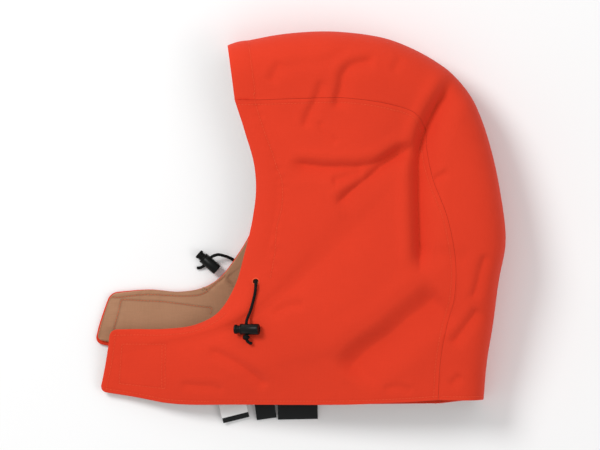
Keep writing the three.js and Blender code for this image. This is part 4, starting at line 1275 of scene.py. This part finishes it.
# Cord locks
def lathe(name, profile, matrix):
    """A turned solid: the profile is radius and distance along X, and runs from end to end of the axis."""
    angles = circle(LATHE_SIDES)
    points = [(x, radius * math.cos(a), radius * math.sin(a)) for radius, x in profile for a in angles]
    placed = [tuple(matrix @ Vector(point)) for point in points]
    return mesh_object(name, np.array(placed), ring_faces(len(profile), LATHE_SIDES), PLASTIC)


def arc(radius, x, size, start, end, steps=5):
    """Profile points of a rounded rim."""
    return [
        (radius + size * math.cos(a), x + size * math.sin(a))
        for a in np.linspace(math.radians(start), math.radians(end), steps)
    ]


def crossing(length_x, width_y, height_z, middle_x, matrix, round_hole):
    """A round or square rod across a lock, from half its sizes."""
    ring = SQUARE
    if round_hole:
        ring = [(math.cos(a), math.sin(a)) for a in circle(HOLE_SIDES)]
    corners = [(middle_x + length_x * u, y, height_z * v) for y in (-width_y, width_y) for u, v in ring]
    placed = [tuple(matrix @ Vector(corner)) for corner in corners]
    return mesh_object("cutter", np.array(placed), ring_faces(2, len(ring)), PLASTIC, smooth_shaded=False)


def soften(made, width):
    """Small bevels on the edges that are left sharp."""
    modifier = made.modifiers.new("soften", "BEVEL")
    modifier.width = width / METRE
    modifier.segments = 3
    modifier.limit_method = "ANGLE"
    modifier.angle_limit = math.radians(50)
    modifier.harden_normals = False


def cord_lock(side):
    forward = lock_axis[side]
    hole = lock_hole(side)
    if side == "near":
        up = unit(np.cross(forward, (0, 1, 0)))
    else:
        level = unit(np.cross((0, 0, 1), forward))
        roll = math.radians(FAR_LOCK_ROLL)
        up = np.array((0, 0, 1)) * math.cos(roll) - level * math.sin(roll)
    across = np.cross(up, forward)
    turn = Matrix([[forward[i], across[i], up[i], hole[i]] for i in range(3)] + [[0, 0, 0, 1]])
    matrix = turn @ Matrix.Translation((-BARREL_HOLE_AT, 0, 0))
    radius = BARREL_DIAMETER / 2
    bore = radius - BARREL_WALL
    round_edge = 1.1
    profile = [(0.01, BORE_DEPTH), (bore - 0.4, BORE_DEPTH), (bore, BORE_DEPTH - 0.4)]
    profile += [(bore, 0.35), (bore + 0.3, 0.0)]
    profile += arc(radius - 0.6, 0.6, 0.6, -90, 0)
    profile += [(radius, 1.7), (radius - 0.22, 1.9), (radius - 0.22, 2.3), (radius, 2.5)]
    profile += arc(radius - round_edge, BARREL_LENGTH - round_edge, round_edge, 0, 90, 8)
    profile += [(2.2, BARREL_LENGTH), (1.9, BARREL_LENGTH - 0.25), (0.01, BARREL_LENGTH - 0.25)]
    barrel = lathe(f"lock_{side}_barrel", profile, matrix)
    hole_radius = CORD / 2 + FIT
    cut(barrel, crossing(hole_radius, BARREL_DIAMETER, hole_radius, BARREL_HOLE_AT, matrix, True))
    soften(barrel, 0.22)
    keep(barrel, "hood", "black_plastic", f"cord_lock_{side}_barrel")

    stem = bore - FIT
    slot_end = BARREL_HOLE_AT + CORD / 2 + FIT
    slot_length = CORD + 2 * FIT + PLUNGER_TRAVEL
    head = HEAD_DIAMETER / 2
    head_inner = -PLUNGER_TRAVEL - FIT
    head_outer = head_inner - HEAD_LENGTH
    profile = [(0.01, head_outer + 0.3), (1.6, head_outer + 0.3), (1.9, head_outer)]
    profile += arc(head - 0.9, head_outer + 0.9, 0.9, -90, 0, 7)
    profile += [(head, head_inner - 0.3), (head - 0.3, head_inner), (stem, head_inner)]
    profile += [(stem, slot_end + PLUNGER_END - 0.3), (stem - 0.3, slot_end + PLUNGER_END)]
    profile += [(0.01, slot_end + PLUNGER_END)]
    plunger = lathe(f"lock_{side}_plunger", profile, matrix)
    middle = slot_end - slot_length / 2
    cut(plunger, crossing(slot_length / 2, BARREL_DIAMETER, hole_radius, middle, matrix, False))
    soften(plunger, 0.15)
    keep(plunger, f"lock_{side}_plunger", "black_plastic", f"cord_lock_{side}_plunger")


cord_lock("near")
cord_lock("far")


# Hook patch, loop strip and labels
def plate(name, top, thickness, material, from_sides):
    """A thin closed sheet below a grid of points that faces up."""
    draw = rounded(from_sides, thickness)[..., None] * np.array([0, 0, 1.0])
    outer = top - draw
    inner = top - np.array([0, 0, thickness]) + draw
    zero = np.zeros(from_sides.shape)
    attributes = {"weave": top[..., :2], "stitch_and_hole_shade": zero, "rim": np.exp(-from_sides / 1.5)}
    points, faces, made = closed_sheet(outer, inner, -1, attributes)
    return mesh_object(name, points, faces, material, made)


def offsets(rows, columns, length, width):
    """Distance of each row and column from the nearest border."""
    across = np.minimum(rows, 1 - rows) * length
    along = np.minimum(columns, 1 - columns) * width
    return np.minimum(across[:, None], along[None, :])


def even_rows(length, step=1.6):
    lead = [0, 0.12, 0.35, 0.8]
    return shares(np.array([length]), lead, lead, max(3, round(length / step)))[:, 0]


def closure_tape(name, node, corners, reach, width, thickness, level):
    """Closure tape between four corners, with its top at a level or, without one, on the upper lining."""
    length = TAPE_LENGTH * HOOD_HEIGHT
    rows, columns = even_rows(length), even_rows(width * reach)
    a, b, c, d = place(corners, reach)
    v, u = np.meshgrid(rows, columns, indexing="ij")
    u, v = u[..., None], v[..., None]
    top = (a * (1 - u) + b * u) * (1 - v) + (d * (1 - u) + c * u) * v
    for point in top.reshape(-1, 3):
        point[2] = level or hit(near_lining_tree, point[0], point[1], False)[0][2] - 0.1
    made = plate(name, top, thickness, TAPE, offsets(rows, columns, length, width * reach))
    keep(made, "hood", "closure_tape", node)


closure_tape("closure_hook_patch", "hook_patch", HOOK_CORNERS, NEAR_TAB_REACH, 0.35, HOOK, None)
closure_tape("closure_loop_strip", "loop_strip", LOOP_CORNERS, FAR_TAB_REACH, 0.7, LOOP, LOOP)

for name, x, y, wide, drop, turn, slot_name in LABELS:
    corner = place([(x, y)], FAR_TAB_REACH)[0]
    width, hanging = wide * HOOD_DEPTH, drop * HOOD_HEIGHT
    height = from_frame(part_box(name)[1])[2]
    rows, columns = even_rows(hanging + LABEL_TUCK, 0.8), even_rows(width, 0.8)
    v, u = np.meshgrid(LABEL_TUCK - rows * (hanging + LABEL_TUCK), (columns - 0.5) * width, indexing="ij")
    cosine, sine = math.cos(math.radians(turn)), math.sin(math.radians(turn))
    along, up = u * cosine - v * sine, u * sine + v * cosine
    top = np.stack([corner[0] + along, corner[1] + up, np.zeros_like(u)], -1)
    below = np.clip(-v, 0, None)
    sag = -0.045 * below**1.6 * (1 + 0.25 * np.sin(u / width * 5 + turn))
    wave = 0.35 * np.sin(u / width * 2 * math.pi + turn) * smooth(0, hanging, below)
    top[..., 2] = np.maximum(height + sag + wave, LABEL + 0.1)
    depth = offsets(rows, columns, hanging + LABEL_TUCK, width)
    finish = WHITE_LABEL if slot_name == "white_label" else BLACK_LABEL
    label = plate(f"{name}_woven", top, LABEL, finish, depth)
    if slot_name == "white_label":
        label.data.materials.append(BLACK_LABEL)
        for face in label.data.polygons:
            middle = from_frame(face.center)
            up = (middle[1] - corner[1]) * cosine - (middle[0] - corner[0]) * sine
            face.material_index = 1 if up < LABEL_BAND - hanging else 0
    keep(label, "hood", slot_name, name)
